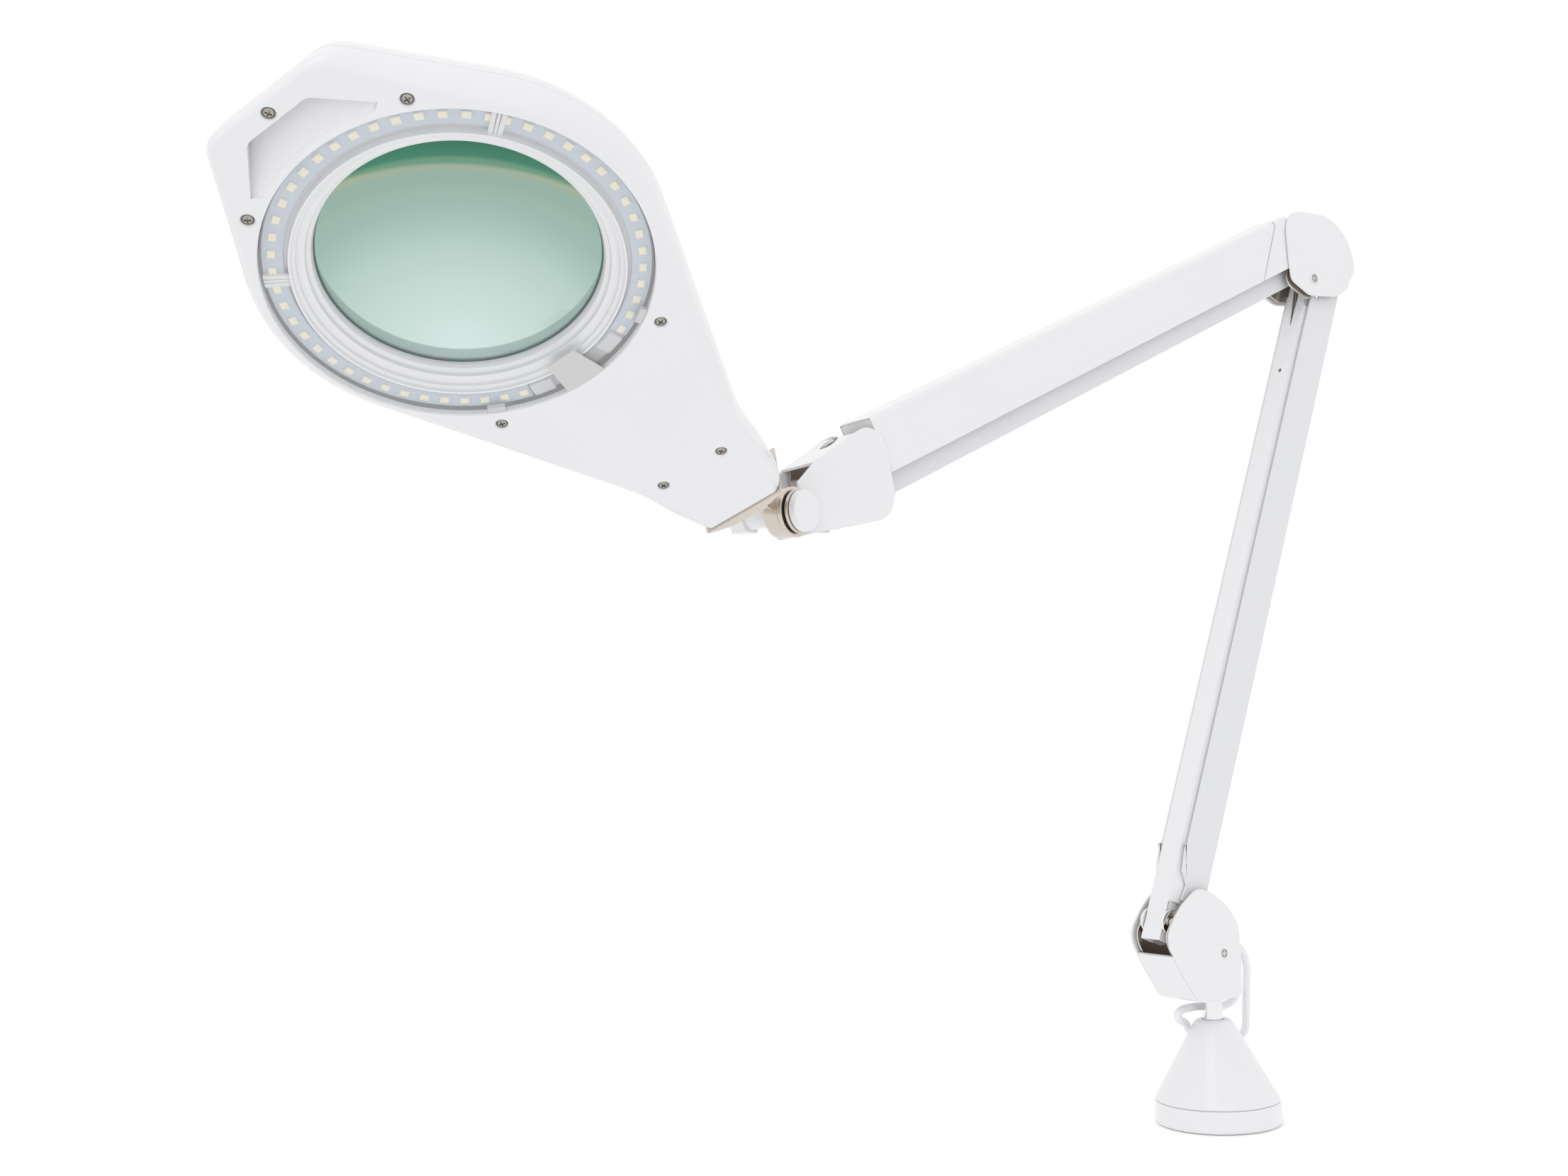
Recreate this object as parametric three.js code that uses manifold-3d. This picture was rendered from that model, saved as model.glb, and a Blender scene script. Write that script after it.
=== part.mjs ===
// LED magnifying lamp on a spring-balanced, two-section parallelogram arm.
// Millimetres, +Z up. Origin: centre of the base's underside. The arms lie in the XZ plane,
// the head reaches out towards -X, and -Y is the near side of every pivot.
import * as THREE from 'three';
import { mergeVertices } from 'three/addons/utils/BufferGeometryUtils.js';
import Module from 'manifold-3d';

const wasm = await Module();
wasm.setup();

// ---------------------------------------------------------------- driving dimensions
const GAP = 0.3;                         // between pieces that touch
const deg = THREE.MathUtils.degToRad;

// base
const skirtRadius = 40;
const skirtHeight = 14;
const coneTopRadius = 11.2;
const coneTopZ = 64.7;
const shellWall = 2.2;
const spigotRadius = 6.35;
const spigotBore = 4.2;

// widths of the stack at every pivot, measured from the arm plane
const barHalf = 7.9;                     // inner bars
const channelHalf = 11.7;                // outside of the sprung channels
const plateIn = 12;                      // nickel pivot plates
const plateOut = 13.3;
const hoodOut = 15;                      // outside of the upper arm's hood
const coverIn = 15.2;                    // white covers
const coverOut = 16.8;
const sheet = 1.5;                       // channel wall
const pinRadius = 3;
const pinHole = pinRadius + GAP;

// linkage, as [x, z] in the arm plane
const lowerTilt = deg(22.54);            // lower arm, from the vertical
const lowerLength = 477;                 // pivot to pivot
const lowerPivot = [-32, 122.7];         // lower channel on the knuckle
const lowerPair = [-14, 3];              // lower bar's pivot, in the lower arm's own frame
const upperSlope = deg(24.48);           // upper arm, below the horizontal
const upperLength = 438;
const upperPivot = [123.5, 596.3];       // upper channel on the elbow
const pairHeight = 24;                   // upper bar's pivot sits this far below the channel's

// head joint
const swivelX = -296;
const jointZ = 378.8;
const swivelReach = 40.5;                // swivel pin to tilt axis
const swivelAngle = deg(17.9);
const tiltAngle = deg(25.07);
const rollAngle = deg(-25.08);
const drumRadius = 13.4;
const stubRadius = 5.2;                  // shaft that the head turns on

// head, in its own frame: origin on the lens axis in the plane of the LED boards,
// +x towards the neck, -z towards the work
const headReach = 251;                   // lens axis to tilt axis
const neckLift = 19.4;                   // tilt axis above the LED boards
const faceZ = -5;
const partingZ = 10;
const topZ = 26.5;
const neckEnd = 212;
const headWall = 2.2;
const roundRadius = 94.5;
const lensRadius = 65;
const openingRadius = 85.8;
const ledRadius = 80.5;
const ledPitch = deg(6.76);
const ledsPerBoard = 16;

// ---------------------------------------------------------------- materials
const finish = (color, roughness, metalness = 0, extra = {}) =>
  new THREE.MeshStandardMaterial({ color, roughness, metalness, ...extra });
const white = finish(0xf2f2f4, 0.32);
const whiteMatt = finish(0xe9e9ec, 0.5);
const nickel = finish(0xb3a596, 0.3, 0.9);
const steel = finish(0x9a9da1, 0.4, 0.9);
const greyPaint = finish(0xdfe1e6, 0.4);
const nylon = finish(0xd9d6cc, 0.6);
const black = finish(0x26262a, 0.6);
const glass = finish(0xbfdcd6, 0.05, 0, { transparent: true, opacity: 0.35 });
const clear = finish(0xe6edf0, 0.12, 0, { transparent: true, opacity: 0.4 });
const board = finish(0xb9c3cd, 0.55);
const rubber = finish(0xececec, 0.6);

// ---------------------------------------------------------------- solids
function solidOf(geometry) {
  const bare = geometry.clone();
  bare.deleteAttribute('normal');
  bare.deleteAttribute('uv');
  const merged = mergeVertices(bare, 1e-4);
  const solid = new wasm.Manifold(new wasm.Mesh({
    numProp: 3,
    vertProperties: new Float32Array(merged.attributes.position.array),
    triVerts: new Uint32Array(merged.index.array),
  }));
  return solid.volume() < 0 ? solidOf(turnedOut(merged)) : solid;
}

function turnedOut(geometry) {
  const flipped = geometry.clone();
  const index = flipped.index.array;
  for (let i = 0; i < index.length; i += 3) [index[i + 1], index[i + 2]] = [index[i + 2], index[i + 1]];
  return flipped;
}

function geometryOf(solid) {
  const mesh = solid.getMesh();
  const geometry = new THREE.BufferGeometry();
  geometry.setAttribute('position', new THREE.BufferAttribute(new Float32Array(mesh.vertProperties), 3));
  geometry.setIndex(new THREE.BufferAttribute(new Uint32Array(mesh.triVerts), 1));
  geometry.computeVertexNormals();
  return geometry;
}

const join = (...pieces) => geometryOf(pieces.map(solidOf).reduce((sum, piece) => sum.add(piece)));
const cut = (piece, ...tools) =>
  geometryOf(tools.map(solidOf).reduce((rest, tool) => rest.subtract(tool), solidOf(piece)));

// ---------------------------------------------------------------- basic shapes
const shapeOf = (points) => new THREE.Shape(points.map(([x, y]) => new THREE.Vector2(x, y)));

// a flat outline in x and z, given a thickness along y
function slab(shape, yLow, yHigh, curveSegments = 6) {
  const geometry = new THREE.ExtrudeGeometry(shape, { depth: yHigh - yLow, bevelEnabled: false, curveSegments });
  return geometry.rotateX(Math.PI / 2).translate(0, yHigh, 0);
}

// a flat outline in x and y, given a thickness along z
function layer(shape, zLow, zHigh, curveSegments = 6) {
  const geometry = new THREE.ExtrudeGeometry(shape, { depth: zHigh - zLow, bevelEnabled: false, curveSegments });
  return geometry.translate(0, 0, zLow);
}

const box = (xLow, xHigh, yLow, yHigh, zLow, zHigh) =>
  new THREE.BoxGeometry(xHigh - xLow, yHigh - yLow, zHigh - zLow)
    .translate((xLow + xHigh) / 2, (yLow + yHigh) / 2, (zLow + zHigh) / 2);

const rodX = (y, z, radius, xLow, xHigh, sides = 14) =>
  new THREE.CylinderGeometry(radius, radius, xHigh - xLow, sides)
    .rotateZ(Math.PI / 2).translate((xLow + xHigh) / 2, y, z);

const rodY = (x, z, radius, yLow, yHigh, sides = 14) =>
  new THREE.CylinderGeometry(radius, radius, yHigh - yLow, sides).translate(x, (yLow + yHigh) / 2, z);

const rodZ = (x, y, radius, zLow, zHigh, sides = 14) =>
  new THREE.CylinderGeometry(radius, radius, zHigh - zLow, sides)
    .rotateX(Math.PI / 2).translate(x, y, (zLow + zHigh) / 2);

// a closed [radius, z] profile turned about the z axis
function turned(profile, sides = 28) {
  const closed = [...profile, profile[0]].map(([r, z]) => new THREE.Vector2(r, z));
  return geometryOf(solidOf(new THREE.LatheGeometry(closed, sides).rotateX(Math.PI / 2)));
}

const lamp = new THREE.Group();

function place(group, name, geometry, material) {
  const mesh = new THREE.Mesh(geometry, material);
  mesh.name = name;
  group.add(mesh);
}

function frameAt(parent, x, y, z) {
  const group = new THREE.Group();
  group.position.set(x, y, z);
  parent.add(group);
  return group;
}

// a pair of mirrored pieces: one on the near side (-y), one on the far side (+y)
function placePair(group, stem, make, material) {
  place(group, `${stem}_near`, make(-1), material);
  place(group, `${stem}_far`, make(1), material);
}

const sideSlab = (shape, side, inner, outer) =>
  (side < 0 ? slab(shape, -outer, -inner) : slab(shape, inner, outer));

// a riveted pivot pin: the rod reaches the outside of both plates
function pivotPin([x, z]) {
  return rodY(x, z, pinRadius, -(plateOut - GAP), plateOut - GAP);
}

const pinHoles = (...pivots) => pivots.map(([x, z]) => rodY(x, z, pinHole, -coverOut, coverOut));

// ---------------------------------------------------------------- base
const coneRadiusAt = (z) =>
  skirtRadius - 1 - (skirtRadius - 1 - coneTopRadius) * (z - skirtHeight) / (coneTopZ - skirtHeight);

function buildBase() {
  const plateTop = 4;
  const socketRadius = 9.2;
  const socketTop = 58;
  const bushRadius = spigotRadius + 1.2;
  const collarTop = 61.4;

  const mountingHoles = [0, 1, 2].map((i) => {
    const angle = deg(90 + 120 * i);
    return rodZ(29 * Math.cos(angle), 29 * Math.sin(angle), 2.4, -1, plateTop + 1, 14);
  });
  place(lamp, 'base_plate', cut(
    rodZ(0, 0, skirtRadius - shellWall - GAP, 0, plateTop, 28),
    ...mountingHoles,
  ), steel);

  place(lamp, 'base_skirt', turned([
    [skirtRadius - shellWall, 0], [skirtRadius - 0.6, 0], [skirtRadius, 0.8],
    [skirtRadius, skirtHeight - 1.2], [skirtRadius - 1, skirtHeight - GAP],
    [skirtRadius - shellWall, skirtHeight - GAP],
  ], 32), white);

  const wall = shellWall * 1.15;
  place(lamp, 'base_cone', turned([
    [skirtRadius - 1, skirtHeight], [coneRadiusAt(coneTopZ - 1) + 0.1, coneTopZ - 1],
    [coneTopRadius - 0.9, coneTopZ], [spigotRadius + 0.6, coneTopZ],
    [spigotRadius + 0.6, coneTopZ - shellWall],
    [coneRadiusAt(coneTopZ - shellWall) - wall, coneTopZ - shellWall],
    [coneRadiusAt(skirtHeight) - wall, skirtHeight],
  ], 32), white);

  place(lamp, 'base_socket', turned([
    [bushRadius + GAP, plateTop + GAP], [22, plateTop + GAP], [22, plateTop + 4],
    [socketRadius, plateTop + 5], [socketRadius, socketTop], [bushRadius + GAP, socketTop],
  ]), steel);

  place(lamp, 'base_bush', turned([
    [spigotRadius + GAP, 14], [bushRadius, 14], [bushRadius, socketTop + GAP],
    [socketRadius, socketTop + GAP], [socketRadius, collarTop], [spigotRadius + GAP, collarTop],
  ]), nylon);
}

// ---------------------------------------------------------------- knuckle
const knuckleCentre = [-22, 118.5];
const knuckleRadius = 32.4;
const knuckleBottom = 79.3;
const knuckleFootX = -27;                // foot of the slanted front wall

function knuckleShape(inset) {
  const [cx, cz] = knuckleCentre;
  const radius = knuckleRadius - inset;
  const right = cx + radius;
  const bottom = knuckleBottom + inset;
  const corner = 3;
  const shape = new THREE.Shape();
  shape.absarc(cx, cz, radius, 0, deg(190));
  shape.lineTo(knuckleFootX + inset * 0.7, bottom);
  shape.lineTo(right - corner, bottom);
  shape.absarc(right - corner, bottom + corner, corner, -Math.PI / 2, 0);
  shape.closePath();
  return shape;
}

const inLower = ([x, z]) => [
  lowerPivot[0] + x * Math.cos(lowerTilt) + z * Math.sin(lowerTilt),
  lowerPivot[1] - x * Math.sin(lowerTilt) + z * Math.cos(lowerTilt),
];
const lowerBarPivot = inLower(lowerPair);
const elbowChannelPivot = inLower([0, lowerLength]);
const elbowBarPivot = inLower([lowerPair[0], lowerPair[1] + lowerLength]);

// the lead leaves the knuckle's back, hangs down behind the cone, loops round behind the spigot and
// goes back in lower down
const leadRoute = [
  [11, 0, 112], [24, 0, 110], [32, 0, 103], [34.6, 0, 93], [34.6, 1, 81], [35.5, 3, 69], [38, 6, 59],
  [41, 11, 50], [40, 20, 44], [32, 29, 42], [20, 32, 45], [8, 28, 52], [-3, 20.5, 59], [-12.5, 14, 62.5],
  [-19.4, 10.4, 64.9], [-22.4, 9.6, 68.2], [-18.8, 9.8, 71.2], [-9.5, 10.2, 71.8], [2, 11.6, 71],
  [12, 12, 69.6], [21, 10, 69.4], [26.4, 6, 73], [27, 3, 80], [22, 1, 88], [11, 0, 92],
].map(([x, y, z]) => new THREE.Vector3(x, y, z));
const leadRadius = 2.5;

function buildKnuckle() {
  const wall = coverOut - coverIn;
  const outerShell = slab(knuckleShape(0), -coverOut, coverOut);
  const cavity = slab(knuckleShape(wall), -coverIn, coverIn);
  place(lamp, 'knuckle_cover', cut(
    outerShell,
    cavity,
    box(-70, -20, -coverIn, coverIn, 110.5, 170),
    box(-21, 30, -coverIn, coverIn, 116, 170),
    rodZ(0, 0, spigotRadius + GAP, 70, 90, 24),
    rodX(0, 112, leadRadius + 0.6, 7, 20, 14),
    rodX(0, 92, leadRadius + 0.6, 7, 20, 14),
  ), white);

  placePair(lamp, 'knuckle_plate', (side) => cut(
    sideSlab(knuckleShape(wall + 1), side, plateIn, plateOut),
    ...pinHoles(lowerPivot, lowerBarPivot),
  ), nickel);

  const blockTop = 98;
  const blockBottom = knuckleBottom + wall + GAP;
  place(lamp, 'knuckle_block', cut(
    box(-13, 6.4, -channelHalf, 6.6, blockBottom, blockTop),
    rodZ(0, 0, spigotRadius + GAP, 70, blockTop - 4, 24),
    rodZ(0, 0, spigotBore, 70, blockTop + 4, 16),
  ), steel);

  place(lamp, 'spigot', turned([
    [spigotBore, 10], [spigotRadius - 0.5, 10], [spigotRadius, 10.6],
    [spigotRadius, blockTop - 4 - GAP], [spigotBore, blockTop - 4 - GAP],
  ], 24), nickel);

  place(lamp, 'knuckle_channel_pin', pivotPin(lowerPivot), nickel);
  place(lamp, 'knuckle_bar_pin', pivotPin(lowerBarPivot), nickel);

  const path = new THREE.CatmullRomCurve3(leadRoute, false, 'centripetal');
  const section = new THREE.Shape();
  section.absarc(0, 0, leadRadius, 0, 2 * Math.PI);
  place(lamp, 'supply_lead', new THREE.ExtrudeGeometry(section, {
    steps: 60, curveSegments: 4, bevelEnabled: false, extrudePath: path,
  }), rubber);
}

// ---------------------------------------------------------------- channels, bars and springs
// A sprung channel lies along +z of its own frame with its web on the +x side. Its cheeks end in a
// round eye at either pivot. The step at the foot leaves room for the bar's pin as the arm leans.
const eyeRadius = 9;
const plainFoot = [[-eyeRadius, 2]];
const steppedFoot = [
  [-8.2, 3.6], [-4.5, 10], [-6.8, 17], [-12, 18.8], [-10.6, 28.8], [-16.6, 36], [-17.9, 46.6], [-18.8, 53.9],
];

// Each head outline is measured back from the far pivot. The lower one runs on into the elbow and
// clears the bar's pin there.
const plainHead = [[-11, 54]];
const longHead = [[-9.3, 8], [-9.6, 17.5], [-14, 15.5], [-17.1, 13]];

function channelSolid({ length, front, back, foot, head }) {
  const taper = 54;
  const shape = new THREE.Shape();
  shape.moveTo(back, length - taper);
  shape.lineTo(eyeRadius, length);
  shape.absarc(0, length, eyeRadius, 0, Math.PI);
  head.forEach(([x, z]) => shape.lineTo(x, length - z));
  shape.lineTo(front, taper);
  foot.toReversed().forEach(([x, z]) => shape.lineTo(x, z));
  shape.absarc(0, 0, eyeRadius, Math.PI, 2 * Math.PI);
  shape.lineTo(back, taper);
  shape.closePath();
  const inner = channelHalf - sheet;
  const holes = [0, length].map((z) => rodY(0, z, pinHole, -coverOut, coverOut));
  const trough = box(front - 5, back - sheet, -inner, inner, -20, length + 20);
  const eyes = [0, length].map((z) => box(0, 20, -inner, inner, z - 14, z + 14));
  return cut(slab(shape, -channelHalf, channelHalf), trough, ...eyes, ...holes);
}

// A folded bar along +z of its own frame, open towards +x, with a round end past each pivot.
// The tail is how much further the foot reaches.
function barSolid({ x, zLow, zHigh, depth, tail = 0 }) {
  const radius = depth / 2;
  const wall = 1.4;
  const trough = box(
    x - radius + wall, x + radius + 1, -(barHalf - wall), barHalf - wall,
    zLow + radius + 2, zHigh - radius - 2,
  );
  const shape = new THREE.Shape();
  shape.absarc(x, zLow - tail, radius, Math.PI, 2 * Math.PI);
  shape.absarc(x, zHigh, radius, 0, Math.PI);
  shape.closePath();
  const holes = [zLow, zHigh].map((z) => rodY(x, z, pinHole, -coverOut, coverOut));
  return cut(slab(shape, -barHalf, barHalf), trough, ...holes);
}

const springSolid = (zLow, zHigh) => rodZ(3.4, 0, 3.4, zLow, zHigh, 12);

function buildLowerArm() {
  const arm = frameAt(lamp, lowerPivot[0], 0, lowerPivot[1]);
  arm.rotation.y = lowerTilt;
  place(arm, 'lower_channel', channelSolid({
    length: lowerLength, front: -17.1, back: 9.2, foot: steppedFoot, head: longHead,
  }), greyPaint);
  place(arm, 'lower_spring', springSolid(60, 230), steel);
  place(arm, 'lower_bar', barSolid({
    x: lowerPair[0], zLow: lowerPair[1], zHigh: lowerPair[1] + lowerLength, depth: 11, tail: 7.5,
  }), greyPaint);
}

// ---------------------------------------------------------------- elbow
const upperBarPivot = [upperPivot[0], upperPivot[1] - pairHeight];

function elbowShape(inset) {
  const centre = [136.5, 577];
  const radius = 34.9 - inset;
  const left = 98.6 + inset;
  const shape = new THREE.Shape();
  shape.moveTo(left + 1.6, 559.6 + inset * 0.6);
  shape.lineTo(108.4 + inset * 0.5, 555 + inset);
  shape.lineTo(123, 550.8 + inset);
  shape.lineTo(153 - inset * 0.3, 554 + inset);
  shape.lineTo(164.4 - inset, 563);
  shape.lineTo(166.4 - inset, 571 + inset * 0.3);
  shape.absarc(centre[0], centre[1], radius, deg(-6), deg(90));
  shape.lineTo(112, 610.2 - inset);
  shape.quadraticCurveTo(left + 1, 609 - inset, left, 599);
  shape.closePath();
  return shape;
}

function buildElbow() {
  const pivots = [elbowChannelPivot, elbowBarPivot, upperPivot, upperBarPivot];
  const wall = coverOut - coverIn;
  placePair(lamp, 'elbow_plate', (side) => cut(
    sideSlab(elbowShape(wall + 0.6), side, plateIn, plateOut),
    ...pinHoles(...pivots),
  ), nickel);

  const rimWall = 1.8;                   // the rim closes the top and the back only
  placePair(lamp, 'elbow_cover', (side) => {
    const whole = sideSlab(elbowShape(0), side, GAP / 2, coverOut);
    const hollow = sideSlab(elbowShape(rimWall), side, 0, coverIn);
    const opening = (xHigh, zHigh) =>
      (side < 0 ? box(80, xHigh, -coverIn, 1, 540, zHigh) : box(80, xHigh, -1, coverIn, 540, zHigh));
    return cut(whole, hollow, opening(118, 620), opening(178, 574));
  }, white);

  const names = ['lower_channel', 'lower_bar', 'upper_channel', 'upper_bar'];
  pivots.forEach((pivot, i) => place(lamp, `elbow_pin_${names[i]}`, pivotPin(pivot), nickel));
}

// ---------------------------------------------------------------- upper arm
// The upper arm's frame has its origin on the elbow pivot, the arm along -x and its top side +z.
const inUpper = ([x, z]) => [
  upperPivot[0] + x * Math.cos(upperSlope) - z * Math.sin(upperSlope),
  upperPivot[1] + x * Math.sin(upperSlope) + z * Math.cos(upperSlope),
];
const forkPivot = inUpper([-upperLength, 0]);
const forkBarPivot = [forkPivot[0], forkPivot[1] - pairHeight];
const coverTop = 18.7;
const coverUnder = -15.6;

function hoodSolid(xLow, xHigh) {
  const round = 3.2;
  const half = hoodOut;
  const section = new THREE.Shape();
  section.moveTo(-half, coverUnder);
  section.lineTo(half, coverUnder);
  section.lineTo(half, coverTop - round);
  section.quadraticCurveTo(half, coverTop, half - round, coverTop);
  section.lineTo(-half + round, coverTop);
  section.quadraticCurveTo(-half, coverTop, -half, coverTop - round);
  section.closePath();
  const length = xHigh - xLow;
  const block = new THREE.ExtrudeGeometry(section, { depth: length, bevelEnabled: false, curveSegments: 4 })
    .rotateX(Math.PI / 2).rotateZ(Math.PI / 2).translate(xLow, 0, 0);
  const wall = 1.4;
  return cut(block, box(xLow - 1, xHigh + 1, -(half - wall), half - wall, coverUnder - 1, coverTop - wall));
}

function buildUpperArm() {
  const arm = frameAt(lamp, upperPivot[0], 0, upperPivot[1]);
  arm.rotation.y = -upperSlope;
  const lying = frameAt(arm, 0, 0, 0);
  lying.rotation.y = -Math.PI / 2;       // +z of the lying frame runs along the arm, +x is its top side
  place(lying, 'upper_channel', channelSolid({
    length: upperLength, front: -11, back: 9.2, foot: plainFoot, head: plainHead,
  }), greyPaint);
  place(lying, 'upper_spring', springSolid(60, 230), steel);
  const barX = -pairHeight * Math.cos(upperSlope);
  const barZ = pairHeight * Math.sin(upperSlope);
  place(lying, 'upper_bar', barSolid({ x: barX, zLow: barZ, zHigh: barZ + upperLength, depth: 12.4 }), greyPaint);
  place(arm, 'upper_cover', hoodSolid(-426, -50), white);
  place(arm, 'upper_sleeve', hoodSolid(-50 + GAP, -16), white);
}

// ---------------------------------------------------------------- fork at the front of the arm
function forkShape(inset) {
  const shape = new THREE.Shape();
  shape.moveTo(-258 - inset, 403);
  shape.lineTo(-258.6 - inset, 415);
  shape.quadraticCurveTo(-260 - inset, 430 - inset, -276, 431.5 - inset);
  shape.lineTo(-292 + inset * 0.3, 421.4 - inset);
  shape.lineTo(-313 + inset * 0.5, 408.2 - inset);
  shape.lineTo(-322.4 + inset, 397);
  shape.lineTo(-317.6 + inset, 386);
  shape.lineTo(-317.6 + inset, 367.8 + inset);
  shape.lineTo(-274, 375.6 + inset);
  shape.quadraticCurveTo(-257 - inset, 378 + inset, -256.4 - inset, 391);
  shape.closePath();
  return shape;
}

function buildFork() {
  const wall = coverOut - coverIn;
  place(lamp, 'fork_cover', cut(
    slab(forkShape(0), -coverOut, coverOut),
    slab(forkShape(wall), -coverIn, coverIn),
    box(-284, -250, -coverIn, coverIn, 360, 440),
    box(-330, -250, -coverIn, coverIn, 360, 382),
    box(-330, -313.5, -coverIn, coverIn, 360, 420),
    rodZ(-289, 2, 5.5, 400, 440, 20),
  ), white);

  placePair(lamp, 'fork_plate', (side) => cut(
    sideSlab(forkShape(wall + 0.6), side, plateIn, plateOut),
    box(-330, -309.5, -20, 20, 360, 440),
    box(-262.8, -250, -20, 20, 360, 440),
    ...pinHoles(forkPivot, forkBarPivot),
  ), nickel);

  const coreTop = jointZ + 24;
  const coreBottom = jointZ - 8;
  place(lamp, 'fork_core', cut(
    box(swivelX - 8, -286.5, -channelHalf, channelHalf, coreBottom, coreTop),
    box(swivelX - 9, swivelX + 7.8, -20, 20, jointZ - 2.4, jointZ + 18.4),
    rodZ(swivelX, 0, pinHole, coreBottom - 1, coreTop + 1, 16),
  ), steel);
  place(lamp, 'swivel_pin', rodZ(swivelX, 0, pinRadius, coreBottom + 0.5, coreTop - 0.5), nickel);
  place(lamp, 'fork_channel_pin', pivotPin(forkPivot), nickel);
  place(lamp, 'fork_bar_pin', pivotPin(forkBarPivot), nickel);
}

// ---------------------------------------------------------------- swivel, tilt and roll joint
const boltRadius = 4;

function buildJoint() {
  const swivel = frameAt(lamp, swivelX, 0, jointZ);
  swivel.rotation.z = swivelAngle;
  const boltBore = () => rodY(-swivelReach, 0, boltRadius + GAP, -20, 22);
  const disc = (radius, yLow, yHigh, sides = 24) => rodY(-swivelReach, 0, radius, yLow, yHigh, sides);

  // faces along the tilt axis, near side first
  const [capFace, capBack, headFace, headBack] = [-19, -14.5, -14.2, -12.6];
  const [washerFace, washerBack, ringFace, ringBack] = [-12.3, -11.7, -11.4, -8.4];
  const [barrelFace, barrelBack, collarFace, nutFace, nutBack] = [-8.1, 1.5, 1.8, 20, 30.5];

  // the arm steps sideways, from the fork's middle to the ring on the barrel's near face
  const armShape = shapeOf([
    [-20, 4.5], [-20, -4.5], [-21, -4.5], [-25.8, -6.9], [-28.2, ringFace], [-34, ringFace],
    [-34, ringBack], [-26.8, ringBack], [-26.8, 4.5],
  ]);
  place(swivel, 'swivel_block', cut(
    join(
      rodZ(0, 0, 7, -2, 18, 24),
      box(-21, -3, -4.5, 4.5, -2, 16),
      layer(armShape, -2, 7),
      disc(13.9, ringFace, ringBack),
    ),
    rodZ(0, 0, pinHole, -10, 30, 16),
    boltBore(),
  ), nickel);
  place(swivel, 'tilt_cap', disc(11.4, capFace, capBack), white);
  place(swivel, 'tilt_bolt', join(
    disc(12.2, headFace, headBack),
    disc(boltRadius, headBack - 0.5, nutFace + 1.5),
  ), steel);
  place(swivel, 'friction_washer', cut(disc(11.6, washerFace, washerBack, 20), boltBore()), black);
  place(swivel, 'tilt_nut', cut(
    join(disc(6.9, collarFace, nutFace + 0.5, 18), disc(9.8, nutFace, nutBack, 6)),
    boltBore(),
  ), white);

  const tilt = frameAt(swivel, -swivelReach, 0, 0);
  tilt.rotation.y = tiltAngle;
  place(tilt, 'tilt_barrel', cut(
    join(rodY(0, 0, drumRadius, barrelFace, barrelBack, 24), rodX(0, 0, stubRadius, -44, -10, 16)),
    rodY(0, 0, boltRadius + GAP, -20, 20),
  ), nickel);

  const roll = frameAt(tilt, 0, 0, 0);
  roll.rotation.x = rollAngle;
  return frameAt(roll, -headReach, 0, -neckLift);
}

// ---------------------------------------------------------------- head
// where a line from a point outside a circle about the origin touches it, on the +y side
function tangentPoint(x, y, radius, sense) {
  const distance = Math.hypot(x, y);
  const angle = Math.atan2(y, x) + sense * Math.acos(radius / distance);
  return angle;
}

function headShape(inset, end = neckEnd) {
  const radius = roundRadius - inset;
  const tipX = -(115.5 - inset);
  const tipHalf = 33 - inset * 0.75;
  const shoulder = [166, 34 - inset];
  const collar = [188, 31 - inset];
  const endHalf = 25 - inset;
  const fromNeck = tangentPoint(shoulder[0], shoulder[1], radius, 1);
  const fromTip = tangentPoint(tipX, tipHalf, radius, -1);
  const corner = 7;
  const shape = new THREE.Shape();
  shape.moveTo(end, -endHalf);
  shape.lineTo(end, endHalf);
  shape.lineTo(...collar);
  shape.lineTo(...shoulder);
  shape.absarc(0, 0, radius, fromNeck, fromTip);
  shape.lineTo(tipX + corner * 0.8, tipHalf + corner * 0.6);
  shape.quadraticCurveTo(tipX, tipHalf, tipX, tipHalf - corner);
  shape.lineTo(tipX, -tipHalf + corner);
  shape.quadraticCurveTo(tipX, -tipHalf, tipX + corner * 0.8, -tipHalf - corner * 0.6);
  shape.absarc(0, 0, radius, -fromTip, -fromNeck);
  shape.lineTo(shoulder[0], -shoulder[1]);
  shape.lineTo(collar[0], -collar[1]);
  shape.closePath();
  return shape;
}

// the chevron-shaped finger recess behind the tip
function gripShape(grow) {
  const innerRadius = 89.5 - grow;
  const reach = deg(22.8) + grow / 80;
  const shape = new THREE.Shape();
  shape.moveTo(-105.5 - grow, 17);
  shape.lineTo(-105.5 - grow, -17);
  shape.lineTo(-86 - grow * 0.3, -36.6 - grow);
  shape.absarc(0, 0, innerRadius, Math.PI + reach, Math.PI - reach, true);
  shape.lineTo(-86 - grow * 0.3, 36.6 + grow);
  shape.closePath();
  return shape;
}

const switchX = 182;
const screwSpots = [
  [-109.6, 0],
  ...[-1, 1].map((side) => [91.7 * Math.cos(deg(150)), side * 91.7 * Math.sin(deg(150))]),
  ...[-1, 1].map((side) => [94 * Math.cos(deg(31.3)), side * 94 * Math.sin(deg(31.3))]),
  ...[-1, 1].map((side) => [168, side * 18.4]),
];

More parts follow.
